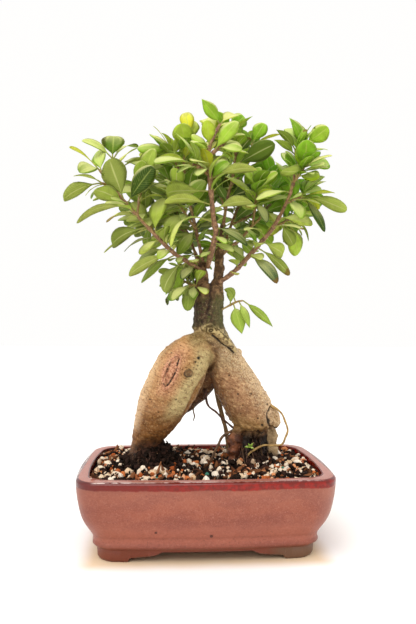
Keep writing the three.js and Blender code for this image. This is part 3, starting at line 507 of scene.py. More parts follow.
def from_line(points, line):
    """The distance of flat points to a broken line, and how far along it the nearest place is (0 to 1)."""
    line = np.asarray(line, float)
    start, step = line[:-1], np.diff(line, axis=0)
    lengths = np.linalg.norm(step, axis=1)
    offset = points[:, None, :] - start[None]
    t = np.clip((offset * step).sum(-1) / (lengths**2), 0, 1)
    gap = np.linalg.norm(offset - t[..., None] * step, axis=-1)
    nearest = gap.argmin(1)
    rows = np.arange(len(points))
    before = np.concatenate([[0], np.cumsum(lengths)])[nearest]
    return gap[rows, nearest], (before + t[rows, nearest] * lengths[nearest]) / lengths.sum()


# ---- meshes ----

def write_points(mesh, points):
    """Puts millimetre points into a mesh of as many vertices."""
    mesh.vertices.foreach_set("co", (points * MM + MIDDLE).astype(np.float32).ravel())


def read_vectors(mesh, key):
    """A row for each vertex of a mesh, of its co in metres or its normal."""
    flat = np.empty(len(mesh.vertices) * 3, np.float32)
    mesh.vertices.foreach_get(key, flat)
    return flat.reshape(-1, 3).astype(float)


def store_shares(mesh, shares):
    """Keeps numbers per point in a mesh, for its material to read."""
    for key, values in shares.items():
        layer = mesh.attributes.new(key, "FLOAT", "POINT")
        layer.data.foreach_set("value", np.asarray(values, np.float32).ravel())


def make_piece(name, points, faces, finish, slot, replaced=(), shares=None, maps=None, sharp=None):
    """A mesh piece from millimetre points and a list of face arrays. shares are numbers per point, maps are
    UV pairs per face corner, and edges that turn more than sharp degrees are shaded sharp."""
    mesh = bpy.data.meshes.new(name)
    points = np.asarray(points, float).reshape(-1, 3)
    mesh.vertices.add(len(points))
    write_points(mesh, points)
    corners = np.concatenate([f.ravel() for f in faces]).astype(np.int32)
    sizes = np.concatenate([np.full(len(f), f.shape[1]) for f in faces])
    starts = np.concatenate([[0], np.cumsum(sizes)[:-1]]).astype(np.int32)
    mesh.loops.add(len(corners))
    mesh.loops.foreach_set("vertex_index", corners)
    mesh.polygons.add(len(sizes))
    mesh.polygons.foreach_set("loop_start", starts)
    for key, values in (maps or {}).items():
        layer = mesh.uv_layers.new(name=key)
        layer.uv.foreach_set("vector", np.asarray(values, np.float32).ravel())
    mesh.update(calc_edges=True)
    mesh.validate()
    store_shares(mesh, shares or {})
    mesh.polygons.foreach_set("use_smooth", np.ones(len(mesh.polygons), bool))
    if sharp:
        mesh.set_sharp_from_angle(angle=math.radians(sharp))
    piece = bpy.data.objects.new(name, mesh)
    bpy.context.scene.collection.objects.link(piece)
    piece.data.materials.append(finish)
    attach(piece, "root")
    if replaced:
        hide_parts(*replaced)
    return piece


def applied(piece):
    """Puts the result of a piece's modifiers into its mesh and takes the modifiers off."""
    result = bpy.data.meshes.new_from_object(piece.evaluated_get(bpy.context.evaluated_depsgraph_get()))
    old = piece.data
    piece.modifiers.clear()
    piece.data = result
    bpy.data.meshes.remove(old)
    result.name = piece.name


def ring_faces(count, rings, sides):
    """Faces of count skins, each a row of rings of points: quads from ring to ring, and a face over each
    end. The points are stored skin by skin, ring by ring."""
    first = (np.arange(count) * rings * sides)[:, None, None]
    ring = (np.arange(rings - 1) * sides)[None, :, None]
    here = np.arange(sides)
    ahead = (here + 1) % sides
    low, high = first + ring + here, first + ring + ahead
    quads = np.stack([low, high, high + sides, low + sides], -1).reshape(-1, 4)
    start = first[:, 0] + here[::-1]
    end = first[:, 0] + (rings - 1) * sides + here
    return [quads, np.concatenate([start, end])]


def ring_map(count, rings, sides, lengthwise):
    """UV pairs for ring_faces: U is the share given for each ring and V goes round from 0 to 1."""
    u = np.broadcast_to(np.asarray(lengthwise, float), (count, rings))
    v = np.arange(sides) / sides
    low_u = np.broadcast_to(u[:, :-1, None], (count, rings - 1, sides))
    high_u = np.broadcast_to(u[:, 1:, None], (count, rings - 1, sides))
    low_v = np.broadcast_to(v, low_u.shape)
    high_v = low_v + 1 / sides
    quads = np.stack([
        np.stack([low_u, low_v], -1), np.stack([low_u, high_v], -1),
        np.stack([high_u, high_v], -1), np.stack([high_u, low_v], -1),
    ], -2).reshape(-1, 2)
    caps = np.concatenate([
        np.stack([np.broadcast_to(u[:, :1], (count, sides)), np.broadcast_to(v, (count, sides))], -1),
        np.stack([np.broadcast_to(u[:, -1:], (count, sides)), np.broadcast_to(v, (count, sides))], -1),
    ]).reshape(-1, 2)
    return np.concatenate([quads, caps])


def joined(parts):
    """Several (points, faces) shapes as one, the faces' numbers moved on by the points before them."""
    points, faces, before = [], [], 0
    for part_points, part_faces in parts:
        part_points = part_points.reshape(-1, 3)
        points.append(part_points)
        faces.extend(f + before for f in part_faces)
        before += len(part_points)
    return np.concatenate(points), faces


def smooth_route(route, steps):
    """A route made rounder: between each two points a cubic that leaves them in the direction of the line
    through their neighbours, with this many steps."""
    at = np.asarray(route, float)
    padded = np.concatenate([[2 * at[0] - at[1]], at, [2 * at[-1] - at[-2]]])
    t = (np.arange(steps) / steps)[None, :, None]
    a, b, c, d = (padded[i:len(padded) - 3 + i, None, :] for i in range(4))
    cubic = b + 0.5 * t * (c - a + t * (2 * a - 5 * b + 4 * c - d + t * (3 * (b - c) + d - a)))
    return np.concatenate([cubic.reshape(-1, at.shape[1]), at[-1:]])


def ring_frames(centres):
    """At each point of a path, two directions square to it, turned as little as possible on the way."""
    ways = unit(np.gradient(centres, axis=0))
    side = np.array([1.0, 0.2, 0.0])
    sides = []
    for way in ways:
        side = unit(side - way * (side @ way))
        sides.append(side)
    sides = np.array(sides)
    return sides, np.cross(ways, sides)


def swept(route, sides, swell=None):
    """A closed round bar: circles of the route's radii square to the route. swell takes the angles and the
    shares along the route, and gives what the radius is multiplied by."""
    route = np.asarray(route, float)
    side, other = ring_frames(route[:, :3])
    angle = np.arange(sides) * 2 * np.pi / sides
    radius = np.broadcast_to(route[:, 3:4], (len(route), sides)).copy()
    if swell:
        radius *= swell(angle[None], np.linspace(0, 1, len(route))[:, None])
    around = side[:, None] * np.cos(angle)[None, :, None] + other[:, None] * np.sin(angle)[None, :, None]
    points = route[:, None, :3] + around * radius[..., None]
    return points, ring_faces(1, len(route), sides)


# ---- materials ----

def paint(code):
    """A linear colour from a six-digit hexadecimal one."""
    parts = np.array([int(code[i:i + 2], 16) for i in (0, 2, 4)]) / 255
    linear = np.where(parts <= 0.04045, parts / 12.92, ((parts + 0.055) / 1.055) ** 2.4)
    return (*(float(c) for c in linear), 1.0)


class Field:
    """What a node gives for every place of a surface. Sums and products of fields add Math nodes."""

    def __init__(self, maker, socket):
        self.maker = maker
        self.socket = socket

    def __add__(self, other):
        return self.maker.maths("ADD", self, other)

    __radd__ = __add__

    def __sub__(self, other):
        return self.maker.maths("SUBTRACT", self, other)

    def __rsub__(self, other):
        return self.maker.maths("SUBTRACT", other, self)

    def __mul__(self, other):
        return self.maker.maths("MULTIPLY", self, other)

    __rmul__ = __mul__

    def __truediv__(self, other):
        return self.maker.maths("DIVIDE", self, other)

    def __pow__(self, other):
        return self.maker.maths("POWER", self, other)

    def __abs__(self):
        return self.maker.maths("ABSOLUTE", self)

    def most(self, other):
        """The greater of two fields."""
        return self.maker.maths("MAXIMUM", self, other)

    def sine(self):
        return self.maker.maths("SINE", self)

    def eased(self, low, high):
        """0 below low, 1 above high, eased between. low may be above high, which turns it round."""
        if low > high:
            return 1 - self.eased(high, low)
        kind = {"interpolation_type": "SMOOTHSTEP"}
        return self.maker.add("ShaderNodeMapRange", kind, {"Value": self, "From Min": low, "From Max": high})

    def shades(self, low, high, first, second):
        """The first colour where the field is below low and the second where it is above high."""
        return self.maker.blend(self.eased(low, high), first, second)


def colour_of(value):
    """What a colour socket takes: a field as it is, or the numbers of a paint's code or a user's colour."""
    if isinstance(value, Field):
        return value
    return paint(value) if isinstance(value, str) else tuple(value)


class Maker:
    """One material's nodes."""

    def __init__(self, name):
        self.material = bpy.data.materials.new(name)
        self.material.use_nodes = True
        self.tree = self.material.node_tree
        self.tree.nodes.clear()

    def add(self, kind, settings=None, inputs=None, output=0):
        """A node of a kind, with its settings, then the values or links of its sockets, as a field."""
        node = self.tree.nodes.new(kind)
        for key, value in (settings or {}).items():
            if key == "stops":
                ramp = node.color_ramp
                while len(ramp.elements) < len(value):
                    ramp.elements.new(0.5)
                for element, (place, colour) in zip(ramp.elements, value):
                    element.position, element.color = place, colour
            else:
                setattr(node, key, value)
        for key, value in (inputs or {}).items():
            if isinstance(value, Field):
                self.tree.links.new(value.socket, node.inputs[key])
            else:
                node.inputs[key].default_value = value
        return Field(self, node.outputs[output])

    def maths(self, operation, *values):
        return self.add("ShaderNodeMath", {"operation": operation}, dict(enumerate(values)))

    def blend(self, share, low, high):
        """One colour mixed into another by a share."""
        sockets = {0: share, 6: colour_of(low), 7: colour_of(high)}
        return self.add("ShaderNodeMix", {"data_type": "RGBA"}, sockets, 2)

    def coats(self, colour, *layers):
        """A colour with others laid over it in turn, each given as its share and the colour."""
        for share, over in layers:
            colour = self.blend(share, colour, over)
        return colour

    def ramp(self, share, stops):
        """A colour for each share, from (place, colour) stops."""
        stops = [(place, colour_of(colour)) for place, colour in stops]
        return self.add("ShaderNodeValToRGB", {"stops": stops}, {0: share})

    def place(self):
        """Object coordinates in millimetres from the pot's middle."""
        here = self.add("ShaderNodeTexCoord", output=3)
        shift = tuple(-MIDDLE / MM)
        return self.add("ShaderNodeMapping", None, {0: here, "Location": shift, "Scale": (1 / MM,) * 3})

    def parts(self, vector):
        """A vector's x, y and z as three fields."""
        return [self.add("ShaderNodeSeparateXYZ", None, {0: vector}, axis) for axis in range(3)]

    def share(self, name):
        """A number stored per point of the mesh."""
        return self.add("ShaderNodeAttribute", {"attribute_name": name}, output=2)

    def turn(self, at, angle):
        """Coordinates turned about the Y axis by an angle in degrees."""
        return self.add("ShaderNodeMapping", None, {0: at, "Rotation": (0, math.radians(angle), 0)})

    def noise(self, at, size, detail, roughness=0.55, shift=0, stretch=(1, 1, 1)):
        """Noise between 0 and 1 whose blobs are about this size, in the unit of at."""
        scale = tuple(1 / (size * s) for s in stretch)
        sockets = {0: at, "Location": (shift, shift, shift), "Scale": scale}
        scaled = self.add("ShaderNodeMapping", None, sockets)
        sockets = {"Vector": scaled, "Scale": 1.0, "Detail": detail, "Roughness": roughness}
        return self.add("ShaderNodeTexNoise", None, sockets)

    def cells(self, at, size):
        """The distance to the nearest of scattered points, in shares of about their spacing."""
        return self.add("ShaderNodeTexVoronoi", None, {"Vector": at, "Scale": 1 / size})

    def bump(self, height, depth, normal=None):
        """A normal for a height field between 0 and 1 that is depth millimetres deep."""
        sockets = {"Height": height, "Distance": depth * MM, "Strength": 1.0}
        if normal:
            sockets["Normal"] = normal
        return self.add("ShaderNodeBump", None, sockets)

    def principled(self, colour, roughness, normal=None, specular=0.5):
        """A surface of one colour and roughness, with the level of its highlights."""
        sockets = {"Base Color": colour, "Roughness": roughness, "Specular IOR Level": specular}
        if normal:
            sockets["Normal"] = normal
        return self.add("ShaderNodeBsdfPrincipled", None, sockets)

    def finish(self, surface):
        """The material, with this surface on its output."""
        output = self.tree.nodes.new("ShaderNodeOutputMaterial")
        self.tree.links.new(surface.socket, output.inputs["Surface"])
        return self.material


# ---- the pot ----

def outlines(insets, counts=(100, 28, 160)):
    """The pot's outline seen from above at each distance in from the rim: four bowed sides and four round
    corners, each the parabola between two points that a control point outside pulls on. counts are the
    steps along a short side, a corner and a long side."""
    inset = np.asarray(insets, float)[:, None, None]
    a, b = POT_LENGTH / 2 - inset, POT_DEPTH / 2 - inset
    corner = np.maximum(POT_CORNER - 0.4 * inset, 8)

    def spot(x, y):
        return np.concatenate([x + 0 * a, y + 0 * a], -1)

    start = spot(a - SIDE_BOW, corner - b)
    stretches = []
    for i, (sx, sy) in enumerate(((1, 1), (-1, 1), (-1, -1), (1, -1))):
        upright = spot(sx * (a - SIDE_BOW), sy * (b - corner))
        level = spot(sx * (a - corner), sy * (b - FRONT_BOW))
        square = spot(sx * (a - SIDE_BOW - CORNER_EASE), sy * (b - FRONT_BOW - CORNER_EASE))
        bulge = spot(0, sy * (b + FRONT_BOW)) if i % 2 else spot(sx * (a + SIDE_BOW), 0)
        ends = (level, upright) if i % 2 else (upright, level)
        long_side = counts[2] if i % 2 else counts[0]
        for control, end, count in ((bulge, ends[0], long_side), (square, ends[1], counts[1])):
            t = (np.arange(count) / count)[None, :, None]
            stretches.append((1 - t) ** 2 * start + 2 * t * (1 - t) * control + t * t * end)
            start = end
    return np.concatenate(stretches, 1)


def arch_height(points):
    """How high the foot band's lower edge is above the ground: a step up from each toe, then a slow rise."""
    inward, height = np.array(FOOT_STEP, float).T
    toe = POT_LENGTH / 2 - FOOT_INSET - FOOT_LENGTH
    side_toe = POT_DEPTH / 2 - FOOT_INSET + SIDE_FOOT_SHORTER - FOOT_LENGTH
    along_front = np.interp(toe - np.abs(points[..., 0]), inward, height, left=0)
    along_side = np.interp(side_toe - np.abs(points[..., 1]), inward, height, left=0)
    return np.maximum(along_front, along_side)


def make_pot(finish):
    """Rings of the outline carried along the wall's profile: from the middle of the underside out to the
    feet, up the outside, over the lip, down the inside and over the floor."""
    hollow = FOOT_INSET + FOOT_WIDTH
    # Each row: height, distance in from the rim, size of the outline, and whether the foot's arch lifts it.
    rows = np.array([
        *[[FLOOR_UNDERSIDE, hollow, size, 0] for size in (0.08, 0.4, 0.7, 1)],
        [0, hollow - 0.2, 1, 1], [0, 18, 1, 1],
        *[[z, inset, 1, 1] for z, inset in FOOT_BAND[:-1]],
        *[[z, inset, 1, 0] for z, inset in smooth_route(WALL_OUTSIDE, 3)],
        *[[POT_HEIGHT, inset, 1, 0] for inset in LIP_INSETS],
        *[[z, inset, 1, 0] for z, inset in smooth_route(WALL_INSIDE, 2)],
        *[[FLOOR_TOP, WALL_INSIDE[-1][1], size, 0] for size in (0.6, 0.08)],
    ])
    flat = outlines(rows[:, 1]) * rows[:, 2, None, None]
    rise = arch_height(flat) * rows[:, 3, None]
    height = rows[:, 0, None] + rise * (1 - rows[:, 0, None] / FOOT_BAND_TOP)
    points = np.concatenate([flat, height[..., None]], -1)
    faces = ring_faces(1, *points.shape[:2])
    pot = make_piece("glazed_pot", points, faces, finish, "glazed_stoneware", ("pot",))
    drill(pot)
    pot.data.set_sharp_from_angle(angle=math.radians(POT_SHARP_ANGLE))


def drill(pot):
    """Cuts the two drainage holes."""
    shape = bmesh.new()
    for side in (-1, 1):
        middle = Vector((side * DRAIN_SPACING / 2, 0, DRILL_HEIGHT)) * MM + Vector(MIDDLE)
        bmesh.ops.create_cone(
            shape, cap_ends=True, segments=48, radius1=DRAIN_RADIUS * MM, radius2=DRAIN_RADIUS * MM,
            depth=DRILL_LENGTH * MM, matrix=Matrix.Translation(middle),
        )
    cutter = bpy.data.objects.new("drill", bpy.data.meshes.new("drill"))
    shape.to_mesh(cutter.data)
    shape.free()
    bpy.context.scene.collection.objects.link(cutter)
    cut = pot.modifiers.new("Drill", "BOOLEAN")
    cut.operation, cut.object, cut.solver = "DIFFERENCE", cutter, "EXACT"
    applied(pot)
    bpy.data.objects.remove(cutter)


def glaze_finish(looks):
    """Dusty pink-brown satin glaze: mottled and finely speckled, pooled dark red under the lip, with a painted
    highlight along the lip's edge and a few pinholes."""
    m = Maker("satin_red_glaze")
    at = m.place()
    x, y, height = m.parts(at)
    cloud = m.noise(at, 18, 3, 0.6, 0, (1.6, 1, 0.7))
    mottle = m.noise(at, 4, 4, 0.65, 7)
    speck = m.noise(at, 0.8, 2, 0.6, 3)
    worn = m.noise(at, 1.7, 3, 0.7, 17)
    seam = 1 - abs((height - SEAM_HEIGHT + (mottle - 0.5) * 1.8) / 1.8)
    body = m.coats(
        m.blend(cloud.eased(0.3, 0.7), looks.body_dark, looks.body_light),
        (mottle.eased(0.5, 0.75) * 0.4, "a0604e"),
        (mottle.eased(0.5, 0.25) * 0.3, "783a2b"),
        (speck.eased(0.56, 0.7) * 0.4, "b57a68"),
        (speck.eased(0.42, 0.3) * 0.45, "5a291c"),
        # Painted light: the lower flare, which faces down, is lightened and warmed as if lit from the floor.
        (height.eased(34, 24) * height.eased(12, 17) * 0.55, "a65f4b"),
        (height.eased(40, 52) * 0.09, "b9806c"),
        (worn.eased(0.52, 0.68) * (height.eased(40, 14) * 0.4 + 0.08), "64382a"),
        (worn.eased(0.46, 0.3) * 0.2, "b8816e"),
        (seam.most(0) * 0.22, "5c2a1d"),
        (height.eased(16, 9) * (cloud * 0.5 + 0.5), "672f21"),
        # Painted shade on the pot's left end and painted light on its right end.
        (x.eased(-45, -95) * 0.35, "743a2a"),
        (x.eased(75, 101) * 0.35, "ab7a6c"),
        (height.eased(11, 8) * x.eased(40, 58) * 0.75, "685240"),
    )
    wobble = (mottle - 0.5) * 2 + (cloud - 0.5) * 3
    band = (height + wobble).eased(56, 57.6)
    red = m.coats(
        looks.band,
        # The band's bright red mottling fades out to the left as painted light on the right, and its left end
        # is painted shade in dark bluish red.
        (mottle.eased(0.38, 0.62) * x.eased(-80, 20) * 0.85, "94180b"),
        (x.eased(-70, -98) * 0.5, "3c1c20"),
        (height.eased(60.4, 62) * 0.55, "4e140e"),
    )
    from_ends = POT_LENGTH / 2 - abs(x)
    from_sides = POT_DEPTH / 2 - abs(x) ** 2 * 0.00035 - abs(y)
    inset = (from_ends + from_sides - abs(from_ends - from_sides)) * 0.5 + (mottle - 0.5) * 1.2
    lip = height.eased(62.2, 62.42) * inset.eased(3.3, 4.5)
    # A thin painted highlight along the lip's outer edge, broken up by the mottling and stronger to the left.
    edge = (1 - abs((inset - 2.9) / 0.9)).most(0) * height.eased(61.6, 62.2)
    glint = mottle.eased(0.36, 0.6) * (x.eased(30, -30) * 0.5 + 0.45)
    pin = m.cells(at, 21).eased(0.032, 0.02)
    for pin_x, pin_z, size in PINHOLES:
        gap = (abs(x - pin_x) ** 2 + abs(height - pin_z) ** 2) ** 0.5
        pin = pin.most(gap.eased(size, size * 0.5) * y.eased(0, -10))
    body = m.coats(
        body,
        (band, red),
        (lip, speck.shades(0.4, 0.6, "9c5a4a", "b27262")),
        # The painted highlight on the lip's edge.
        (edge * glint, "f2dcd2"),
        (pin * 0.8, "3a1812"),
    )
    rough = 0.42 - band * 0.24 + lip * 0.12 + (mottle - 0.5) * 0.14
    normal = m.bump(mottle * 0.6 + cloud - pin * 1.5, 0.3)
    normal = m.bump(speck, 0.06, normal)
    return m.finish(m.principled(body, rough, normal, 0.38))


def plastic_finish():
    """Black moulded mesh, dusted by the mix."""
    m = Maker("black_moulded_mesh")
    dust = m.noise(m.place(), 2.5, 4, 0.6)
    colour = dust.shades(0.45, 0.75, "1d1f22", "3a332c")
    return m.finish(m.principled(colour, 0.5 + dust * 0.3, m.bump(dust, 0.1)))


# ---- the soil ----

def soil_height(x, y):
    """The soil's level: a low crown over the bed and a heap round each foot of the tree."""
    edge = np.maximum(np.abs(x) / (POT_LENGTH / 2), np.abs(y) / (POT_DEPTH / 2))
    level = SOIL_EDGE_HEIGHT + SOIL_CROWN * (1 - edge**3)
    for hx, hy, radius, height in SOIL_HEAPS:
        level = level + height * np.exp(-HEAP_STEEPNESS * ((x - hx) ** 2 + (y - hy) ** 2) / radius**2)
    return level


def soil_relief(x, y):
    """Lumps of the mix on its level, fading out at the pot's wall."""
    flat = np.stack([x, y, 0 * x], -1)
    edge = np.maximum(np.abs(x) / BED_REACH[0], np.abs(y) / BED_REACH[1])
    lumps = 1.5 * rough_noise(flat, 7, 3, 21) + 0.7 * lattice_noise(flat, 1.7, 31)
    for hx, hy, radius, height in PEAT_HEAPS:
        lumps = lumps + height * np.exp(-((x - hx) ** 2 + (y - hy) ** 2) / radius**2)
    return lumps * smooth(edge, 1.0, 0.93) - 0.9


def make_soil_bed(finish):
    """Rings of the outline: up the sides of the pot, then ever smaller over the top with the relief."""
    heights, insets = np.array(BED_SIDES).T
    below = outlines(insets, BED_STEPS)
    below = np.concatenate([below, heights[:, None, None] + 0 * below[..., :1]], -1)
    top = outlines([SOIL_INSET], BED_STEPS) * np.linspace(1, 0.015, BED_RINGS)[:, None, None]
    height = soil_height(top[..., 0], top[..., 1]) + soil_relief(top[..., 0], top[..., 1])
    top = np.concatenate([top, height[..., None]], -1)
    floor = below[:1] * [0.1, 0.1, 1]
    points = np.concatenate([floor, below, top])
    make_piece("soil_bed", points, ring_faces(1, *points.shape[:2]), finish, "potting_mix", ("soil",))


def scatter(draw, count):
    """Random places on the soil within the pot's wall: count pairs."""
    reach = [POT_LENGTH / 2 - SOIL_INSET - 1.5, POT_DEPTH / 2 - SOIL_INSET - 1.5]
    spots = draw.uniform(-1, 1, (count * 2, 2)) * reach
    return spots[inside_wall(spots)][:count]


def inside_wall(spots):
    """Which places are within the pot's wall: a rectangle with round corners and bowed long sides."""
    x, y = np.abs(spots).T
    u = np.maximum(x - ROOM_STRAIGHT[0], 0) / ROOM_CORNER
    v = np.maximum(y - ROOM_STRAIGHT[1], 0) / ROOM_CORNER
    return (u**2 + v**2 < 1) & (y < ROOM_DEPTH - ROOM_BOW * (x / ROOM_LENGTH) ** 2)


def from_feet(spots):
    """How far places are from the peaty mounds round the tree's feet, 1 at a mound's edge."""
    return np.min([np.hypot(spots[:, 0] - x, (spots[:, 1] - y) * 1.2) / r for x, y, r in MOUNDS], axis=0)


def grains(draw, spots, sizes, stretch, lift, uneven=0.22):
    """Lumps at places on the soil: a short row of rings, wide in the middle, each point pushed in or out at
    random, the whole stretched along its own axes and turned at random."""
    count = len(spots)
    level = np.linspace(-1, 1, GRAIN_RINGS)
    radius = (1 - np.abs(level) ** 2.6) ** 0.5 * 0.55 + 0.42
    angle = np.arange(GRAIN_SIDES) * 2 * np.pi / GRAIN_SIDES
    ring = np.stack([
        radius[:, None] * np.cos(angle), radius[:, None] * np.sin(angle), level[:, None] + 0 * angle,
    ], -1)
    lumps = ring[None] * (1 + draw.uniform(-uneven, uneven, (count, GRAIN_RINGS, GRAIN_SIDES, 1)))
    scale = np.asarray(stretch)[None] * draw.uniform(0.75, 1.25, (count, 3)) * (sizes / 2)[:, None]
    lumps = lumps * scale[:, None, None]
    lumps = np.einsum("nij,nrsj->nrsi", turned(draw, count), lumps)
    x, y = spots[:, 0], spots[:, 1]
    centre = np.stack([x, y, soil_height(x, y) + soil_relief(x, y) + lift * sizes / 2], -1)
    return lumps + centre[:, None, None], ring_faces(count, GRAIN_RINGS, GRAIN_SIDES)


def turned(draw, count):
    """Random rotation matrices from random unit quaternions."""
    w, x, y, z = unit(draw.normal(size=(count, 4))).T
    rows = [
        1 - 2 * (y * y + z * z), 2 * (x * y - z * w), 2 * (x * z + y * w),
        2 * (x * y + z * w), 1 - 2 * (x * x + z * z), 2 * (y * z - x * w),
        2 * (x * z - y * w), 2 * (y * z + x * w), 1 - 2 * (x * x + y * y),
    ]
    return np.stack(rows, -1).reshape(count, 3, 3)


def make_grains(looks, finishes):
    """The mix's pieces by kind: dark bark, pale volcanic grit, fired orange grit and brown slivers."""
    draw = np.random.default_rng(11)
    kinds = [
        ("dark_bark_chips", looks.bark_chips, (2.6, 6.5), (1.25, 0.9, 0.55), 0.2, "dark"),
        ("pale_grit", looks.pale_grains, (1.9, 6.2), (1.3, 0.95, 0.7), 0.45, "pale"),
        ("orange_grit", looks.orange_grains, (1.9, 5.2), (1.2, 1, 0.75), 0.45, "orange"),
        ("brown_slivers", looks.slivers, (3, 8), (1.6, 0.45, 0.3), 0.5, "brown"),
    ]
    for name, count, (low, high), stretch, lift, kind in kinds:
        spots = scatter(draw, count)
        if kind == "dark":
            peat = [draw.normal([x, y], size * 0.38, (PEAT_GRAINS, 2)) for x, y, size in MOUNDS]
            spots = np.concatenate([spots, *peat])
        else:
            beside = draw.random(len(spots)) < SHARE_IN_PAIRS
            spots[beside] = np.roll(spots, 1, 0)[beside] + draw.normal(0, 2.4, (beside.sum(), 2))
            spots = spots[from_feet(spots) > draw.uniform(0.6, 1.15, len(spots))]
        spots = spots[inside_wall(spots)]
        sizes = low + (high - low) * draw.random(len(spots)) ** 1.6
        points, faces = grains(draw, spots, sizes, stretch, lift)
        per_grain = np.repeat(draw.random(len(spots)), GRAIN_RINGS * GRAIN_SIDES)
        shares = {"grain": per_grain}
        make_piece(name, points, faces, finishes[kind], "potting_mix", shares=shares, sharp=GRAIN_SHARP_ANGLE)
    beads = np.array(BEADS)
    points, faces = grains(draw, beads[:, :2], beads[:, 2], (1, 1, 1), 1.7, 0.02)
    make_piece("feed_beads", points, faces, finishes["bead"], "potting_mix")
    points, faces = swept(smooth_route(UPRIGHT_SLIVER, 3), 6)
    shares = {"grain": np.full(points.size // 3, 0.5)}
    make_piece("upright_sliver", points, faces, finishes["brown"], "potting_mix", shares=shares)


# Each kind of grain: its material's name, its shades and its roughness.
GRAIN_FINISHES = {
    "dark": ("dark_bark", ["090504", "1a100a", "34211a", "110a07"], 0.75),
    "pale": (
        "pale_volcanic_grit", ["fdf1de", "c6a078", "f1dec6", "dfc4a0", "fdf1e0", "d2ae84", "f5e6d0"], 0.85,
    ),
    "orange": ("fired_orange_grit", ["a34e22", "d07a44", "8a3d1a", "e09a68", "b85c2c", "d9a47c"], 0.85),
    "brown": ("brown_bark", ["2f1a10", "6b4026", "8c5a38", "24150d", "54301c"], 0.75),
}


def soil_finish():
    """Dark peaty mix, damp and crumbly."""
    m = Maker("damp_dark_mix")
    at = m.place()
    crumbs = m.noise(at, 2.2, 5, 0.7)
    fine = m.noise(at, 0.6, 3, 0.6, 5)
    colour = m.ramp(crumbs, [(0.3, "0a0604"), (0.55, "18100b"), (0.75, "36241a")])
    colour = m.blend(fine.eased(0.6, 0.75) * 0.4, colour, "5a4030")
    return m.finish(m.principled(colour, 0.9, m.bump(crumbs + fine * 0.4, 0.9), 0.06))


def grain_finish(name, tones, roughness):
    """One kind of grain, each a different shade, with its own fine pitting."""
    m = Maker(name)
    pits = m.noise(m.place(), 0.9, 4, 0.7)
    colour = m.ramp(m.share("grain"), [(i / (len(tones) - 1), code) for i, code in enumerate(tones)])
    colour = m.blend(pits.eased(0.5, 0.3) * 0.55, colour, "4a3628")
    return m.finish(m.principled(colour, roughness, m.bump(pits, 0.3), 0.08))


def bead_finish():
    """Waxy teal beads, faintly clouded."""
    m = Maker("waxy_teal_bead")
    cloud = m.noise(m.place(), 0.9, 3, 0.6)
    return m.finish(m.principled(m.blend(cloud, "0f4d40", "2f8a72"), 0.35, m.bump(cloud, 0.05)))


# ---- the wood ----

# The cells of the wood's remesh, and into how many steps and sides its bars, the thin roots and the root hairs
# are cut.
WOOD_CELL = 0.8
BAR_STEPS = 5
FAT_BAR_SIDES = 44
SLIM_BAR_SIDES = 24
THIN_ROOT_SIDES = 12
HAIR_SIDES = 5
HAIR_POINTS = 6


def make_wood(finish):
    """Round bars for the swollen roots, the trunk, its stubs and knots, fused by a fine voxel remesh, eased,
    then pushed in and out by the relief of skin, bark and scars."""
    bars = [
        swept(smooth_route(route, BAR_STEPS), FAT_BAR_SIDES, fluted)
        for route in (LEFT_ROOT, RIGHT_ROOT, BACK_ROOT)
    ]
    bars.append(swept(smooth_route(TRUNK, BAR_STEPS), FAT_BAR_SIDES, lobed))
    small = (*SHORT_ROOTS, *ROOT_CLUMP, SIDE_KNOB, *STUBS, GRAFT_LUMP, *CUT_KNOTS)
    bars += [swept(smooth_route(route, BAR_STEPS), SLIM_BAR_SIDES) for route in small]
    piece = make_piece("swollen_wood", *joined(bars), finish, "fig_bark", ("tree",))
    remesh = piece.modifiers.new("Remesh", "REMESH")
    remesh.mode, remesh.voxel_size, remesh.use_smooth_shade = "VOXEL", WOOD_CELL * MM, True
    ease = piece.modifiers.new("Smooth", "SMOOTH")
    ease.factor, ease.iterations = 0.5, 6
    applied(piece)
    mesh = piece.data
    points = (read_vectors(mesh, "co") - MIDDLE) / MM
    normals = read_vectors(mesh, "normal")
    relief, shares = wood_relief(points, normals)
    write_points(mesh, points + normals * relief[:, None])
    store_shares(mesh, shares)
    mesh.update()


def fluted(angle, _):
    """A root's section: three shallow flutes, the same all along."""
    return 1 + 0.03 * np.cos(3 * angle)


def lobed(angle, along):
    """The trunk's section: round at the graft, two-lobed above."""
    return 1 + 0.06 * np.cos(2 * angle) * smooth(along, 0.3, 0.6)


# Which way the left root runs, and the marks on the front of the wood: lines as [x, z], and curls, holes and
# eyes as [x, z, radius].
LEFT_LEG_WAY = np.array([-35.0, 3, -75]) / np.linalg.norm([-35.0, 3, -75])
SCAR = [[-22.8, 150.9], [-27.6, 142.2], [-32, 128.8]]
SCAR_CRACK = [
    [-26, 151], [-21.8, 151.4], [-23.2, 146.5], [-24.1, 141.7], [-26, 137], [-29.4, 131.6], [-32.4, 128.4],
    [-34.4, 132], [-32.6, 138], [-30.6, 143.6], [-27.4, 149],
]
GRAFT_CRACK = [[5.4, 168.6], [8, 166.4], [12.2, 161.9], [18, 159.2], [24, 154.2]]
GRAFT_HEIGHT = 173
CALLUS = [[1.5, 174.3], [8, 172.8], [13.2, 170.6], [19.7, 163.8], [24, 156.4]]
CALLUS_CURLS = [[4, 172.4, 3.6], [11, 168.6, 3], [17, 163.4, 3.2], [21.4, 158.6, 2.6]]
GROOVE = [[5.4, 212], [4.6, 202.1], [3, 193.5], [1.5, 183.9], [2.4, 178]]
KNOB_CRACK = [[54.5, 109.5], [51.6, 105], [51.6, 100.5], [53, 96], [54.6, 92]]
LOBE_EDGE = [
    [-1, 165], [4.3, 159.5], [6.8, 152], [4.6, 145], [-0.4, 136.6], [-9.7, 125.1], [-15, 113.7],
    [-19.2, 104.4], [-26.5, 96.1], [-33.5, 87.9],
]
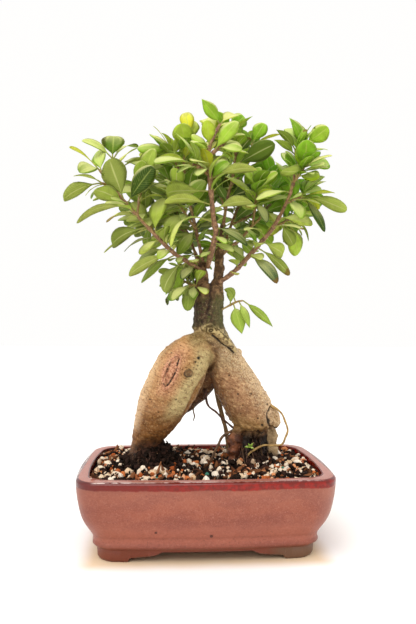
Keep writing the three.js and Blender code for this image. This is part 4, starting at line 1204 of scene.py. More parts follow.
HOLES = [
    [-5.4, 150.6, 1.6], [-8.4, 147.4, 0.9], [-41.8, 151.7, 0.9], [-28.2, 154.8, 0.7], [26, 121, 0.9],
    [-6.6, 144.2, 0.6], [-3.8, 146.4, 0.6], [19, 136, 0.8], [37, 121, 0.7], [52, 112, 1.1], [-45, 118, 0.7],
    [53.6, 98, 1.9], [58.5, 110, 1.6], [47, 95, 1.2], [-24, 118, 0.7], [-38, 108, 0.6], [30, 112, 0.7],
    [43, 101, 0.8],
]
# The cut knot on the left root and the dark eye in it: x and z.
KNOT = [-14.9, 138.8]
KNOT_EYE = [-14.2, 138.2]
TRUNK_EYES = [[-4.6, 193, 2.2], [10.4, 186.6, 1.8], [-3, 181, 1.4], [9, 199, 2], [12.6, 178.6, 1.4]]


def line_x(z, line):
    """The x of a line that runs down the front, at each height."""
    x, height = np.array(line[::-1], float).T
    return np.interp(z, height, x)


def wood_relief(points, normals):
    """How far each point of the wood is pushed out, and what share it has of each colour. Every mark is a
    bell or an eased step of the distance to its line on the front, and the skin between is noise."""
    x, y, z = points.T
    flat = points[:, [0, 2]]
    front = smooth(-normals[:, 1], -0.15, 0.3) * smooth(y, 8, 0)
    lobe_gap, _ = from_line(flat, LOBE_EDGE)
    lobe_x = line_x(z, LOBE_EDGE)
    left_leg = smooth(x - lobe_x, 1.5, -0.5) * smooth(z, 168, 161)
    right_leg = smooth(x - lobe_x, 0, 3) * smooth(z, 170, 160) * smooth(x, -6, 2)
    rough = rough_noise(points, 9, 4, 3)
    bark = smooth(z + 2.6 * lattice_noise(points, 5, 8) - 0.2 * np.abs(x - 4), 169.5, 173.5)

    relief = 0.7 * rough + 0.3 * rough_noise(points, 2.4, 2, 13)
    fissures = rough_noise(points * [1, 1, 0.45], 3.4, 3, 5)
    relief += bark * (0.95 * fissures + 0.3)
    for ex, ez, radius in TRUNK_EYES:
        gap = np.hypot(x - ex, (z - ez) * 1.3)
        relief += front * (0.9 * bell(gap - radius, 0.8) - 0.8 * bell(gap, radius * 0.6))

    groove, _ = from_line(flat + 1.6 * lattice_noise(points, 6, 83)[:, None] * [1, 0], GROOVE)
    groove = bell(groove, 2.1) * smooth(y, 2, -3)
    groove = groove * smooth(z + 2 * lattice_noise(points, 4, 71), 182, 192)
    relief -= 1.5 * groove

    callus, _ = from_line(flat, CALLUS)
    callus = bell(callus, 3.4) * smooth(y, 2, -4)
    relief += callus * (0.5 + 0.7 * lattice_noise(points, 3, 17))
    curls = np.zeros(len(points))
    bent_x = x + 1.9 * lattice_noise(points, 3.1, 73)
    bent_z = z + 1.9 * lattice_noise(points, 3.1, 74)
    for cx, cz, radius in CALLUS_CURLS:
        gap = np.hypot(bent_x - cx, (bent_z - cz) * 1.25 + 0.5 * (bent_x - cx))
        curls += 0.85 * np.cos(gap * 2.1 + 0.3) * bell(gap, radius)
    relief += 1.2 * curls * front
    ring = bell(z - GRAFT_HEIGHT + 0.12 * (x - 4), 2.6)
    relief += ring * (0.3 + 0.8 * lattice_noise(points, 3.6, 19))
    graft_crack, _ = from_line(flat, GRAFT_CRACK)
    graft_crack = bell(graft_crack + 0.5 * lattice_noise(points, 2, 27), 0.9) * front
    relief -= 1.8 * graft_crack

    scar_gap, scar_along = from_line(flat, SCAR)
    scar_width = 3.5 * np.sin(np.pi * np.clip(scar_along, 0.02, 0.98)) ** 0.7
    on_leg = front * smooth(y, -12, -18)
    scar = smooth(scar_width - scar_gap, -0.5, 0.7) * on_leg
    rim = bell(scar_gap - scar_width - 1.2, 1.4) * on_leg
    relief += 1.5 * rim - scar + 0.4 * scar * rough_noise(points * [1, 1, 0.4], 1.6, 2, 23)
    scar_crack, _ = from_line(flat, SCAR_CRACK)
    scar_side = x - line_x(z, SCAR)
    strong = np.maximum(smooth(scar_side, -0.5, 1.5), smooth(z, 133, 130))
    broken = smooth(lattice_noise(points, 3, 77), -1.3, -0.4)
    scar_crack = bell(scar_crack + 0.5 * lattice_noise(points, 1.8, 33), 0.55) * on_leg
    scar_crack = scar_crack * (0.6 + 0.4 * strong) * (0.7 + 0.3 * broken)
    relief -= 1.3 * scar_crack

    end_rim = bell(z - 89.5 - 4 * lattice_noise(points, 4, 77), 1.4) * smooth(x, 29, 35) * smooth(y, -2, -8)
    holes = np.zeros(len(points))
    for hx, hz, radius in HOLES:
        holes = np.maximum(holes, bell(np.hypot(x - hx, z - hz), radius) * front)
    relief -= 1.6 * holes
    knob_crack, _ = from_line(flat, KNOB_CRACK)
    knob_crack = bell(knob_crack + 0.6 * lattice_noise(points, 2, 91), 1.0) * front
    relief -= 1.4 * knob_crack
    knot_gap = np.hypot(x - KNOT[0], z - KNOT[1])
    knot = smooth(knot_gap + 0.5 * lattice_noise(points, 2, 85), 3.4, 2.6) * on_leg
    knot_ring = bell(knot_gap - 2.9 + 0.9 * lattice_noise(points, 2, 85), 0.8) * on_leg
    knot_ring += 0.8 * bell(np.hypot(x - KNOT_EYE[0], z - KNOT_EYE[1]), 1.1) * on_leg
    relief += on_leg * (0.7 * bell(knot_gap - 2.9, 0.9) - bell(knot_gap - 4.6, 0.8))

    # The left root lies over the right one: its edge is undercut.
    crease = bell(x - lobe_x - 1.6, 1.6) * smooth(z, 96, 104) * smooth(z, 166, 160) * front
    relief -= 1.3 * crease

    across = points @ LEFT_LEG_WAY
    bent = across + 2.6 * lattice_noise(points, 12, 29)
    lines = np.stack([bent / 1.3, x / 9, y / 9], -1)
    wrinkles = rough_noise(lines, 1, 2, 31)
    green = left_leg * smooth(x - lobe_x, -19, -9) * smooth(z, 164, 152) * smooth(z, 96, 112) * front
    relief += left_leg * wrinkles * (0.15 + 0.3 * green)
    ribs = rough_noise(points * [1, 1, 0.3], 4.2, 2, 37)
    relief += right_leg * 0.5 * ribs
    bumps = smooth(lattice_noise(points, 6, 47), 0.45, 0.8)
    relief += right_leg * bumps
    ragged = right_leg * smooth(z, 100, 90)
    relief += ragged * 1.6 * rough_noise(points, 4.5, 3, 41)

    relief += right_leg * 0.28 * rough_noise(points, 2.2, 2, 79)
    clump = smooth(z, 88, 83) * smooth(x, 24, 27)
    relief += clump * 1.5 * rough_noise(points * [1, 1, 0.5], 3, 3, 81)
    # Painted light: the outward-facing sides of both roots are lightened.
    flank = left_leg * smooth(-normals[:, 0], 0.5, 0.95) + right_leg * smooth(normals[:, 0], 0.35, 0.9)
    diagonal = x + (z - 120) * 0.62
    pale_root = smooth(x, 53, 55) * smooth(z, 92, 88) * smooth(z, 66, 72)

    # Painted shade: on the back root behind the front roots, low on the right root, and beside the left root's
    # overlapping edge.
    edge_shade = smooth(lobe_gap, 9, 1) * right_leg * front
    under = smooth(normals[:, 1], 0.1, -0.35)
    inner = np.maximum(smooth(y, 0, 7) * smooth(z, 168, 156) * under, 0.85 * smooth(z, 96, 86) * right_leg)
    inner = np.maximum(inner, 0.75 * edge_shade)
    # The dark share is painted shade in the cracks, holes, groove and the crease under the left root, with the
    # knot's own dark ring.
    dark = graft_crack + scar_crack + holes + 0.75 * (knob_crack + end_rim)
    dark = dark + 0.6 * groove + 0.35 * crease + 0.68 * knot_ring
    shares = {
        "bark": bark,
        "dark": dark,
        "pink": 0.9 * scar + 0.7 * rim + 0.5 * bell(scar_gap - 4, 5) * on_leg,
        "green": green,
        "callus": np.clip(callus + ring * 0.6, 0, 1) * (1 - graft_crack),
        "curl": 0.5 + 0.6 * curls + 0.3 * rough_noise(points, 1.6, 2, 87),
        "stump": smooth(z, 90, 84) * smooth(x, 33, 29) * smooth(x, 18, 22),
        "neck": smooth(z + 1.5 * rough, 156, 165) * (1 - bark) * smooth(np.abs(x - 3), 22, 12),
        "inner": inner,
        "stain": smooth(z + 2 * rough + 8 * smooth(x, -50, -62), 89, 77),
        # Darker red-brown towards the bottom of the roots: partly the skin's own blotches, partly painted
        # shade.
        "low": smooth(z + 4 * rough + 0.25 * (x + 35), 140, 92),
        "knot": knot,
        "right": right_leg,
        # Painted light on the upper right of the right root, with freckles, and painted shade on its lower
        # left.
        "sunny": right_leg * smooth(diagonal, 27, 50),
        "shady": right_leg * smooth(diagonal, 30, 12),
        "flank": flank * smooth(z, 88, 96),
        "clump": clump * (1 - pale_root),
        "pale_root": pale_root,
        "high": smooth(z + 3 * lattice_noise(points, 6, 51), 194, 208),
    }
    return relief, {key: np.clip(values, 0, 1) for key, values in shares.items()}


def wood_finish(looks):
    """Smooth tan skin on the swollen roots, with green, pink and red-brown parts, and grey-brown bark above
    the graft."""
    m = Maker("fig_skin_and_bark")
    at = m.place()
    x, _, z = m.parts(at)
    tilted = m.turn(at, -25)
    broad = m.noise(at, 15, 3, 0.55)
    blotch = m.noise(at, 5, 4, 0.62, 4)
    fine = m.noise(at, 1.2, 3, 0.65, 9)
    grit = m.noise(at, 0.55, 2, 0.6, 14)
    lines = m.noise(tilted, 1.1, 3, 0.6, 21, (7, 7, 1))
    streaks = m.noise(at, 2.2, 4, 0.7, 2, (1, 1, 1.5))
    moss = m.noise(at, 4.2, 4, 0.7, 31)
    dashes = m.noise(tilted, 1.9, 3, 0.7, 41, (2, 2, 1))
    pores = m.cells(at, 3.1).eased(0.2, 0.1)
    dots = m.cells(at, 1.7).eased(0.26, 0.14) * blotch.eased(0.44, 0.58)
    barky, low, right = m.share("bark"), m.share("low"), m.share("right")
    skin = m.coats(
        m.blend(broad.eased(0.35, 0.65), looks.skin, looks.skin_pale),
        # Darker red-brown low on the roots: partly the skin's own blotches, partly painted shade.
        (low * 0.9, blotch.shades(0.4, 0.6, "5b320f", "7a4b1b")),
        (blotch.eased(0.5, 0.75) * 0.55, "8c643a"),
        (m.share("green") * (blotch + 0.35).eased(0.3, 0.75) * 0.9, "beac78"),
        (right, blotch.shades(0.35, 0.65, "82593a", "a67c55")),
        # Painted shade on the right root's lower left.
        (m.share("shady") * 0.5, "5e3d22"),
        (right * z.eased(130, 150) * 0.45, "8f8762"),
        (right * z.eased(108, 92) * 0.5, "aa884c"),
        # Painted light on the right root's upper right, freckled.
        (m.share("sunny") * 0.8, fine.shades(0.42, 0.6, "a07e55", "dcc6a2")),
        # Painted light on the roots' outer sides.
        (m.share("flank") * 0.6, "e6c398"),
        (m.share("pink") * 0.85, fine.shades(0.35, 0.65, "9c5d42", "cf9678")),
        (m.share("neck") * 0.85, blotch.shades(0.35, 0.65, "66552f", "a08a5c")),
        (m.share("knot") * 0.85, "5f4222"),
        # Painted shade in dark red-brown.
        (m.share("inner") * 0.9, blotch.shades(0.4, 0.7, "3f2416", "6d4630")),
        (dashes.eased(0.53, 0.65) * 0.62, "7c5029"),
        (dashes.eased(0.46, 0.34) * (0.4 - low * 0.3), "dcb982"),
        (lines.eased(0.45, 0.32) * 0.5, "5e4426"),
        (fine.eased(0.56, 0.7) * 0.58, "d2ad7a"),
        (fine.eased(0.43, 0.29) * 0.68, "6b4726"),
        (pores * 0.75, "4a2d17"),
        (dots * 0.7, "4a2d17"),
    )
    bark = m.coats(
        m.ramp(streaks, [(0.32, "1c120b"), (0.46, "402e1f"), (0.57, "56442c"), (0.72, "857554")]),
        (moss.eased(0.5, 0.64) * 0.65, "565c28"),
        (moss.eased(0.47, 0.33) * 0.5, "54301a"),
        (fine.eased(0.58, 0.7) * blotch.eased(0.45, 0.6) * 0.8, "b5a684"),
        # Greyish green on the trunk's right, partly lichen and partly painted light; painted shade on its
        # left.
        (x.eased(3, 13) * 0.4, "717346"),
        (x.eased(3, -7) * 0.4, "20150d"),
        (m.share("high") * 0.85, blotch.shades(0.4, 0.7, "563a28", "a78059")),
    )
    curl = m.share("curl").shades(0.35, 0.68, "51401f", "bfa873")
    curl = m.blend(fine.eased(0.4, 0.3) * 0.6, curl, "4a3f2a")
    wood = m.coats(
        skin,
        (barky, bark),
        (m.share("callus") * 0.9, curl),
        (m.share("stain") * 0.9, blotch.shades(0.4, 0.7, "1a0f09", "55301f")),
        (m.share("clump") * 0.9, m.ramp(streaks, [(0.44, "0a0503"), (0.66, "24130b"), (0.84, "5c3520")])),
        (m.share("stump") * 0.7, blotch.shades(0.4, 0.65, "4a2413", "8a5030")),
        (m.share("pale_root") * 0.9, m.blend(fine, "8a6c46", "d8bc90")),
        # Near black where the dark share is: painted shade in the cracks, holes, groove and crease, and the
        # knot's ring.
        (m.share("dark").eased(0.15, 0.8) * 0.95, "120a06"),
    )
    rough = 0.5 + barky * 0.3 + (fine - 0.5) * 0.2
    height = fine * 0.55 + grit * 0.25 + lines * 0.5 + streaks * barky * 2 - pores * 0.4
    return m.finish(m.principled(wood, rough, m.bump(height, 0.75), 0.28))


def make_thin_roots(finish):
    """Slim roots as bars whose radius swells and narrows a little along the way."""
    bars, shares = [], []
    for i, (route, (golden, thickness)) in enumerate(zip(THIN_ROOTS, THIN_ROOT_SHARES)):
        fine = smooth_route(route, 7)
        steps = np.outer(np.arange(len(fine)), [1, 0, 0])
        fine[:, 3] *= thickness * (1 + 0.14 * lattice_noise(steps, 2, i))
        bars.append(swept(fine, THIN_ROOT_SIDES))
        shares.append(np.full(len(fine) * THIN_ROOT_SIDES, golden))
    shares = {"golden": np.concatenate(shares)}
    make_piece("thin_roots", *joined(bars), finish, "fig_bark", shares=shares)


def make_root_hairs(finish):
    """Fine roots round the feet: each a thin bar that leaves a ring round its foot and wanders outwards in
    random steps while it falls to the mix; and one rootlet that hangs in the arch."""
    draw = np.random.default_rng(23)
    bars = [swept(smooth_route(HANGING_ROOTLET, 4), HAIR_SIDES)]
    share = np.linspace(0, 1, HAIR_POINTS)
    for x, y, ring, low, high, reach, count in HAIR_RINGS:
        for turn in draw.uniform(0, 2 * np.pi, count):
            way = np.array([math.cos(turn), math.sin(turn)])
            far = draw.uniform(0.3, 1) * reach
            flat = np.array([x, y]) + way * (ring + share[:, None] * far)
            flat = flat + np.cumsum(draw.normal(0, 0.14 * far, (HAIR_POINTS, 2)), 0)
            ground = soil_height(flat[:, 0], flat[:, 1]) + soil_relief(flat[:, 0], flat[:, 1]) + 0.5
            start = draw.uniform(low, high)
            level = np.maximum(mix(start, ground, smooth(share, 0, draw.uniform(0.3, 0.9))), ground)
            thick = draw.uniform(0.12, 0.34) * (1 - 0.6 * share)
            bars.append(swept(np.column_stack([flat, level, thick]), HAIR_SIDES))
    tones = np.repeat(draw.random(len(bars)) ** 3 * 0.5, [bar[0].size // 3 for bar in bars])
    make_piece("root_hairs", *joined(bars), finish, "fig_bark", shares={"golden": tones})


def thin_root_finish():
    """Dark red-brown slim roots, and a golden one."""
    m = Maker("slim_root_skin")
    blotch = m.noise(m.place(), 3, 4, 0.6)
    dark = m.ramp(blotch, [(0.3, "24130c"), (0.55, "4e2d1c"), (0.75, "7c5232")])
    gold = m.ramp(blotch, [(0.3, "80602f"), (0.7, "bd9a5c")])
    return m.finish(m.principled(m.blend(m.share("golden"), dark, gold), 0.6, m.bump(blotch, 0.3)))


# ---- where the leaves go ----

def along(route, at):
    """A place on a stem, a share of its length on, and the way the stem runs there."""
    points = np.asarray(route, float)
    lengths = np.linalg.norm(np.diff(points, axis=0), axis=1)
    left = at * lengths.sum()
    i = 0
    while i < len(lengths) - 1 and left > lengths[i]:
        left -= lengths[i]
        i += 1
    way = unit(points[i + 1] - points[i])
    return points[i] + way * left, way


def leaf_axes(base, tip, up):
    """A leaf's length and its directions: along it, up from its upper face and across it."""
    reach = tip - base
    length = np.linalg.norm(reach, axis=-1, keepdims=True)
    ahead = reach / length
    above = unit(up - ahead * (up * ahead).sum(-1, keepdims=True))
    return length, ahead, above, np.cross(ahead, above)


def half_width(width, pointed, u):
    """Half the blade's width: a sine bell, widest past the middle, its power falling towards a round tip, or
    on a pointed leaf widest before the middle and drawn out to a point."""
    blunt = np.sin(np.pi * np.clip(u, 0, 1) ** 1.25).clip(0) ** (0.88 - 0.4 * u)
    drawn = np.sin(np.pi * np.clip(u, 0, 1) ** 0.8).clip(0)
    return width / 2 * np.where(pointed, drawn, blunt)


SAMPLE_T = (np.arange(12) + 0.5) / 12
SAMPLE_SIDE = np.arange(-3, 4) / 3.2


def leaf_samples(leaf):
    """Points spread over a leaf, each with its share along it, to measure how near it comes to others."""
    length, ahead, above, across = leaf_axes(leaf["base"], leaf["tip"], leaf["up"])
    t = SAMPLE_T[:, None]
    spot = leaf["base"] + ahead * length * t + above * leaf["arch"] * length * 4 * t * (1 - t)
    way = unit(ahead + above * leaf["arch"] * 4 * (1 - 2 * t))
    upward = np.cross(across, way)
    u = (SAMPLE_T - STALK_SHARE) / (1 - STALK_SHARE)
    half = np.where(u < 0, 0, half_width(leaf["width"], leaf["pointed"], u))
    side = SAMPLE_SIDE[None, :, None]
    spread = half[:, None, None]
    at = spot[:, None] + across * side * spread + upward[:, None] * np.abs(side) * spread * LEAF_FOLD
    kept = (half[:, None] > 0) | (SAMPLE_SIDE[None] == 0)
    return at[kept], np.broadcast_to(t, kept.shape)[kept]


class Crowding:
    """The points that a new leaf keeps clear of, each with a radius and the branch that it is on."""

    def __init__(self):
        self.at = np.empty((0, 3))
        self.radius = np.empty(0)
        self.branch = np.empty(0, int)

    def take(self, at, radius, branch):
        self.at = np.concatenate([self.at, at])
        self.radius = np.concatenate([self.radius, np.broadcast_to(radius, len(at))])
        self.branch = np.concatenate([self.branch, np.full(len(at), branch)])

    def is_clear(self, branch, at, t, own, others):
        low, high = at.min(0) - WIDEST_GAP, at.max(0) + WIDEST_GAP
        near = ((self.at > low) & (self.at < high)).all(1)
        place, radius = self.at[near], self.radius[near]
        mine = self.branch[near] == branch
        room = radius + np.where(mine, own, others)
        gap = ((at[:, None] - place[None]) ** 2).sum(-1)
        blocked = gap < room**2
        blocked &= ~(mine[None] & (t < FREE_SHARE)[:, None])
        return not blocked.any()

    def place(self, branch, ways, own=CLEAR_OF_OWN, others=CLEAR_OF_OTHERS):
        """The first of several ways for a leaf to lie that is clear of what is there, or none."""
        for leaf in ways:
            at, t = leaf_samples(leaf)
            if self.is_clear(branch, at, t, own, others):
                self.take(at[t > STALK_END], 0.0, branch)
                return [leaf]
        return []


def leaf_of(branch, base, tip, up, width, arch, mark=None):
    """One leaf: its two ends, where its upper face looks, its width and its arch. A listed leaf carries a
    mark, the x and z of its tip."""
    return {
        "base": base, "tip": tip, "up": up, "width": width, "arch": arch,
        "pointed": branch.get("pointed", False), "mark": mark,
    }


def set_leaf(branch, stem, row):
    """The ways of a listed leaf: its tip moves to the front or the back where its place is taken."""
    at, x, y, z, width, facing, arch = row
    spot, _ = along(stem["route"], at)
    turn = math.radians(facing)
    up = np.array([0, -math.cos(turn), math.sin(turn)])
    return [
        leaf_of(branch, spot, np.array([x, y + shift, z], float), up, width, arch, (x, z))
        for shift in SHIFTS
    ]


def spiral_leaf(branch, stem, at, i, draw, lengths=LEAF_LENGTHS):
    """The ways of leaf i of the spiral on a stem: it leans out less towards the stem's end, hangs where the
    crown is low and rises where it is high, and swings round the stem where its place is taken."""
    spot, way = along(stem["route"], at)
    side = unit(np.cross([0, 1, 0], way))
    other = np.cross(way, side)
    lean = math.radians(mix(80, 34, at) + mix(-8, 8, draw()))
    start = i * GOLDEN_TURN + mix(-20, 20, draw())
    length = mix(*lengths, draw())
    width = length * mix(*LEAF_WIDTH_SHARE, draw())
    arch = mix(0.04, 0.14, draw())
    tilt = mix(-0.35, 0.35, draw())
    facing = mix(0.2, 1.1, draw())
    rise = mix(-0.4, 0.3, share_of(spot[2], 225, 335))
    ways = []
    for swing in SWINGS:
        turn = math.radians(start + swing)
        out = side * math.cos(turn) + other * math.sin(turn)
        reach = way * math.cos(lean) + out * math.sin(lean)
        reach[2] += rise
        tip = spot + unit(reach) * length
        up = np.array([tilt, facing if spot[1] > CROWN_MIDDLE else -facing, 1])
        if ((tip >= CROWN_LOW) & (tip <= CROWN_HIGH)).all():
            ways.append(leaf_of(branch, spot, tip, up, width, arch))
    return ways


def grow_leaves(extra):
    """Leaves by branch: those listed, the spirals, then tries at small ones, first in the gaps between and
    then low in the middle."""
    crowd = Crowding()
    leaves = [[] for _ in EVERY_BRANCH]
    stems = [(b, branch, stem) for b, branch in enumerate(EVERY_BRANCH) for stem in branch["stems"]]
    for b, _, stem in stems:
        spots = np.array([along(stem["route"], i / STEM_PARTS)[0] for i in range(STEM_PARTS + 1)])
        crowd.take(spots, np.linspace(*stem["radius"], STEM_PARTS + 1), b)
    for b, branch, stem in stems:
        for row in stem["set"]:
            leaves[b] += crowd.place(b, set_leaf(branch, stem, row))
    draw = drawer(41)
    for b, branch, stem in stems:
        for i in range(stem["spiral"]):
            at = mix(stem["from"], 1, (i + 0.5) / stem["spiral"])
            leaves[b] += crowd.place(b, spiral_leaf(branch, stem, at, i, draw))
    draw = drawer(97)
    crown = [(b, branch, stem) for b, branch, stem in stems if branch is not SHOOT]
    for i in range(extra):
        b, branch, stem = crown[int(draw() * len(crown))]
        at = mix(max(stem["from"], 0.25), 1, draw())
        ways = spiral_leaf(branch, stem, at, i, draw, EXTRA_LENGTHS)
        ways = [way for way in ways if way["tip"][0] > -55 or way["tip"][2] < 285]
        leaves[b] += crowd.place(b, ways, *TIGHT)
    for i in range(LOW_LEAF_TRIES):
        b = int(draw() * len(BRANCHES))
        branch = BRANCHES[b]
        ways = spiral_leaf(branch, branch["stems"][0], mix(0.08, 0.42, draw()), i, draw, LOW_LENGTHS)
        ways = [way for way in ways if way["tip"][2] < LOW_TOP and abs(way["tip"][0]) < LOW_REACH]
        leaves[b] += crowd.place(b, ways, *TIGHT)
    return [[moved(leaf) for leaf in own if is_kept(leaf)] for own in leaves]


# Set leaves that are turned or moved a little, by mark: the tip's shift and the turn of the upper face.
LEAF_MOVES = {
    (-79, 311): (2, 0, -7, 180), (-78, 338): (-1, -8, 2, 0), (-104, 332): (0, 0, 0, 45),
    (-76, 240): (0, 0, 0, 150), (-15, 367): (-2, -16, 0, 0),
}
# Set leaves that end in a point, by mark.
POINTED_MARKS = [(-4, 366), (11, 365), (71, 354), (54, 329), (58, 341), (40, 356), (75, 358)]


def moved(leaf):
    """The leaf, pointed or moved where its mark asks for it."""
    leaf["pointed"] = leaf["pointed"] or leaf["mark"] in POINTED_MARKS
    if leaf["mark"] in LEAF_MOVES:
        *shift, facing = LEAF_MOVES[leaf["mark"]]
        turn = math.radians(facing)
        leaf.update(tip=leaf["tip"] + shift, up=np.array([0, -math.cos(turn), math.sin(turn)]))
    return leaf


def is_kept(leaf):
    """Leaves of the spirals stay out of the places that set leaves fill at the front."""
    x, y, z = leaf["tip"]
    taken = [
        x < -75 and z > 320, x < -84 and z > 275 and y < -40, x < 25 and y < -5 and z > 345,
        x < -20 and z > 355, -20 < x < 0 and y < -20 and z < 215,
        -35 < x < 12 and y < -15 and z > 290 and leaf["width"] < 12,
    ]
    return leaf["mark"] is not None or not any(taken)


# ---- the leaves' blades ----

# The stations along a leaf: shares of the way from stem to tip, the stalk first.
STALK_STATIONS = [0.0, 0.08, 0.155]
BLADE_STATIONS = [0.02, 0.09, 0.2, 0.34, 0.48, 0.61, 0.73, 0.83, 0.91, 0.965, 1.0]
RING_SIDE = np.array([-1, -0.5, 0, 0.5, 1, 0.5, 0, -0.5])
RING_FACE = np.array([0, 1, 1, 1, 0, -1, -1, -1])
STALK_RADIUS = 0.62
BLADE_HALF_THICKNESS = 0.2
TIP_HALF_WIDTH = 0.05


def leaf_blades(leaves, seed):
    """Closed blades, all at once: rings of eight points square to an arched midrib. The stalk's rings are
    round; the blade's have five points over the top and three under it, lifted to the edges by the fold and
    dropped again by a curl, with a wave along the edge, and the tip droops by the cube of the way."""
    draw = np.random.default_rng(seed)
    count = len(leaves)
    base, tip, up = (np.array([leaf[key] for leaf in leaves], float) for key in ("base", "tip", "up"))
    width, arch = (np.array([leaf[key] for leaf in leaves], float)[:, None] for key in ("width", "arch"))
    pointed = np.array([leaf["pointed"] for leaf in leaves])[:, None]
    length, ahead, above, across = leaf_axes(base, tip, up)
    u = np.array([0] * len(STALK_STATIONS) + BLADE_STATIONS)[None]
    t = np.array(STALK_STATIONS + [STALK_SHARE + (1 - STALK_SHARE) * s for s in BLADE_STATIONS])[None]
    droop = draw.uniform(0, 0.05, (count, 1))
    rise = arch * length * 4 * t * (1 - t) - droop * length * u**3
    slope = arch * 4 * (1 - 2 * t) - 3 * droop * u**2
    centre = base[:, None] + ahead[:, None] * (length * t)[..., None] + above[:, None] * rise[..., None]
    way = unit(ahead[:, None] + above[:, None] * slope[..., None])
    sideways = draw.normal(0, 0.02, (count, 1)) * length * np.sin(np.pi * u) * u
    centre = centre + across[:, None] * sideways[..., None]
    twist = draw.normal(0, 0.22, (count, 1)) * u
    upward = np.cross(across[:, None], way)
    right = across[:, None] * np.cos(twist)[..., None] + upward * np.sin(twist)[..., None]
    upward = np.cross(right, way)

    half = half_width(width, pointed, u) + np.where(u > 0.999, TIP_HALF_WIDTH, 0)
    side = RING_SIDE[None, None]
    face = RING_FACE[None, None]
    fold = draw.uniform(0.1, 0.34, (count, 1, 1))
    curl = draw.uniform(-0.06, 0.26, (count, 1, 1))
    wave = draw.uniform(0, 0.07, (count, 1, 1))
    turns = draw.uniform(7, 13, (count, 1, 1))
    start = draw.uniform(0, 6.3, (count, 2, 1))[:, :1]
    spread = half[..., None]
    lift = spread * (fold * (np.sqrt(side**2 + 0.03) - 0.17) - curl * side**2)
    lift = lift + spread * wave * np.sin(turns * u[..., None] + start + 1.7 * np.sign(side)) * side**2
    thick = BLADE_HALF_THICKNESS * (1 + 0.9 * (side == 0) * (face < 0) * (1 - u[..., None]))
    blade_x, blade_z = side * spread, lift + face * thick * np.minimum(1, spread / 0.8)
    angle = np.arange(8) * np.pi / 4
    round_x, round_z = -np.cos(angle) * STALK_RADIUS, np.sin(angle) * STALK_RADIUS
    shape = smooth(u, 0.0, 0.1)[..., None]
    offset_x = mix(round_x, blade_x, shape)
    offset_z = mix(round_z, blade_z, shape)
    points = centre[:, :, None] + right[:, :, None] * offset_x[..., None]
    points = points + upward[:, :, None] * offset_z[..., None]
    return points, np.broadcast_to(u, (count, u.shape[1]))


LEAF_SHARES = ["tone", "dull", "burn", "vivid"]
# Leaves with a look of their own: tip x and z of the set leaf, then its shares in hundredths.
LEAF_MARKS = {
    (-23, 238): (60, 50, 0, 0), (-33, 254): (45, 50, 0, 0), (-100, 295): (60, 35, 0, 0),
    (-113, 324): (2, 30, 0, 0), (-93, 326): (48, 5, 0, 20), (-79, 311): (58, 78, 0, 0),
    (-44, 306): (88, 60, 0, 0), (-89, 282): (40, 45, 0, 0), (-105, 259): (30, 95, 0, 0),
    (-79, 257): (30, 90, 100, 0), (-76, 240): (62, 70, 0, 0), (-85, 237): (25, 85, 0, 0),
    (-69, 240): (92, 40, 0, 0), (-60, 228): (72, 50, 0, 0), (-63, 216): (40, 75, 0, 0),
    (-55, 214): (66, 60, 0, 0), (-35, 203): (60, 80, 0, 0), (-31, 205): (60, 30, 0, 0),
    (-20, 215): (88, 60, 0, 0), (-113, 274): (48, 70, 0, 0), (-106, 294): (28, 80, 0, 0),
    (-104, 332): (42, 20, 0, 0), (-78, 338): (76, 15, 0, 0), (-61, 342): (52, 30, 0, 0),
    (-49, 320): (35, 75, 0, 0), (-9, 360): (22, 30, 0, 0), (-15, 367): (0, 0, 0, 0),
    (-21, 350): (30, 15, 0, 0), (-58, 328): (45, 15, 0, 35), (-58, 320): (52, 20, 0, 20),
    (-45, 353): (3, 20, 0, 0), (-33, 278): (34, 55, 0, 0), (-35, 272): (22, 60, 0, 0),
    (-30, 238): (26, 60, 0, 0), (34, 273): (28, 85, 0, 0), (38, 300): (28, 80, 0, 0),
    (-13, 304): (25, 60, 0, 0), (33, 242): (90, 30, 0, 0), (-1, 341): (18, 10, 0, 20),
    (25, 345): (30, 10, 0, 35), (28, 319): (40, 20, 0, 30), (-41, 305): (20, 25, 0, 0),
    (-42, 299): (58, 20, 0, 0), (-4, 366): (34, 5, 0, 50), (62, 337): (76, 10, 0, 0),
    (57, 366): (33, 0, 0, 70), (75, 358): (3, 20, 0, 0), (11, 365): (38, 0, 0, 60),
    (36, 366): (42, 0, 0, 80), (40, 356): (18, 10, 0, 30), (58, 341): (62, 45, 0, 0),
    (54, 329): (40, 35, 0, 10), (72, 334): (46, 0, 0, 90), (40, 279): (34, 30, 0, 30),
    (78, 255): (60, 75, 60, 0), (30, 254): (34, 60, 0, 0), (62, 234): (38, 60, 0, 0),
    (70, 219): (50, 55, 80, 0), (58, 212): (100, 30, 60, 0), (81, 328): (30, 0, 0, 85),
    (103, 317): (12, 30, 0, 10), (107, 318): (34, 0, 0, 90), (57, 300): (44, 40, 0, 0),
    (110, 291): (8, 10, 0, 0), (107, 305): (18, 30, 0, 0), (118, 274): (38, 55, 0, 0),
    (76, 264): (48, 20, 0, 20), (100, 256): (92, 30, 0, 0), (76, 284): (34, 0, 0, 80),
    (71, 354): (28, 0, 0, 80), (72, 353): (36, 0, 0, 90), (106, 349): (30, 0, 0, 35),
    (77, 247): (48, 50, 0, 0), (94, 253): (48, 55, 0, 0), (40, 308): (62, 10, 0, 10),
    (58, 335): (50, 0, 0, 90), (50, 262): (92, 35, 0, 0), (-15, 189): (62, 65, 0, 0),
    (-28, 197): (62, 60, 0, 0),
}


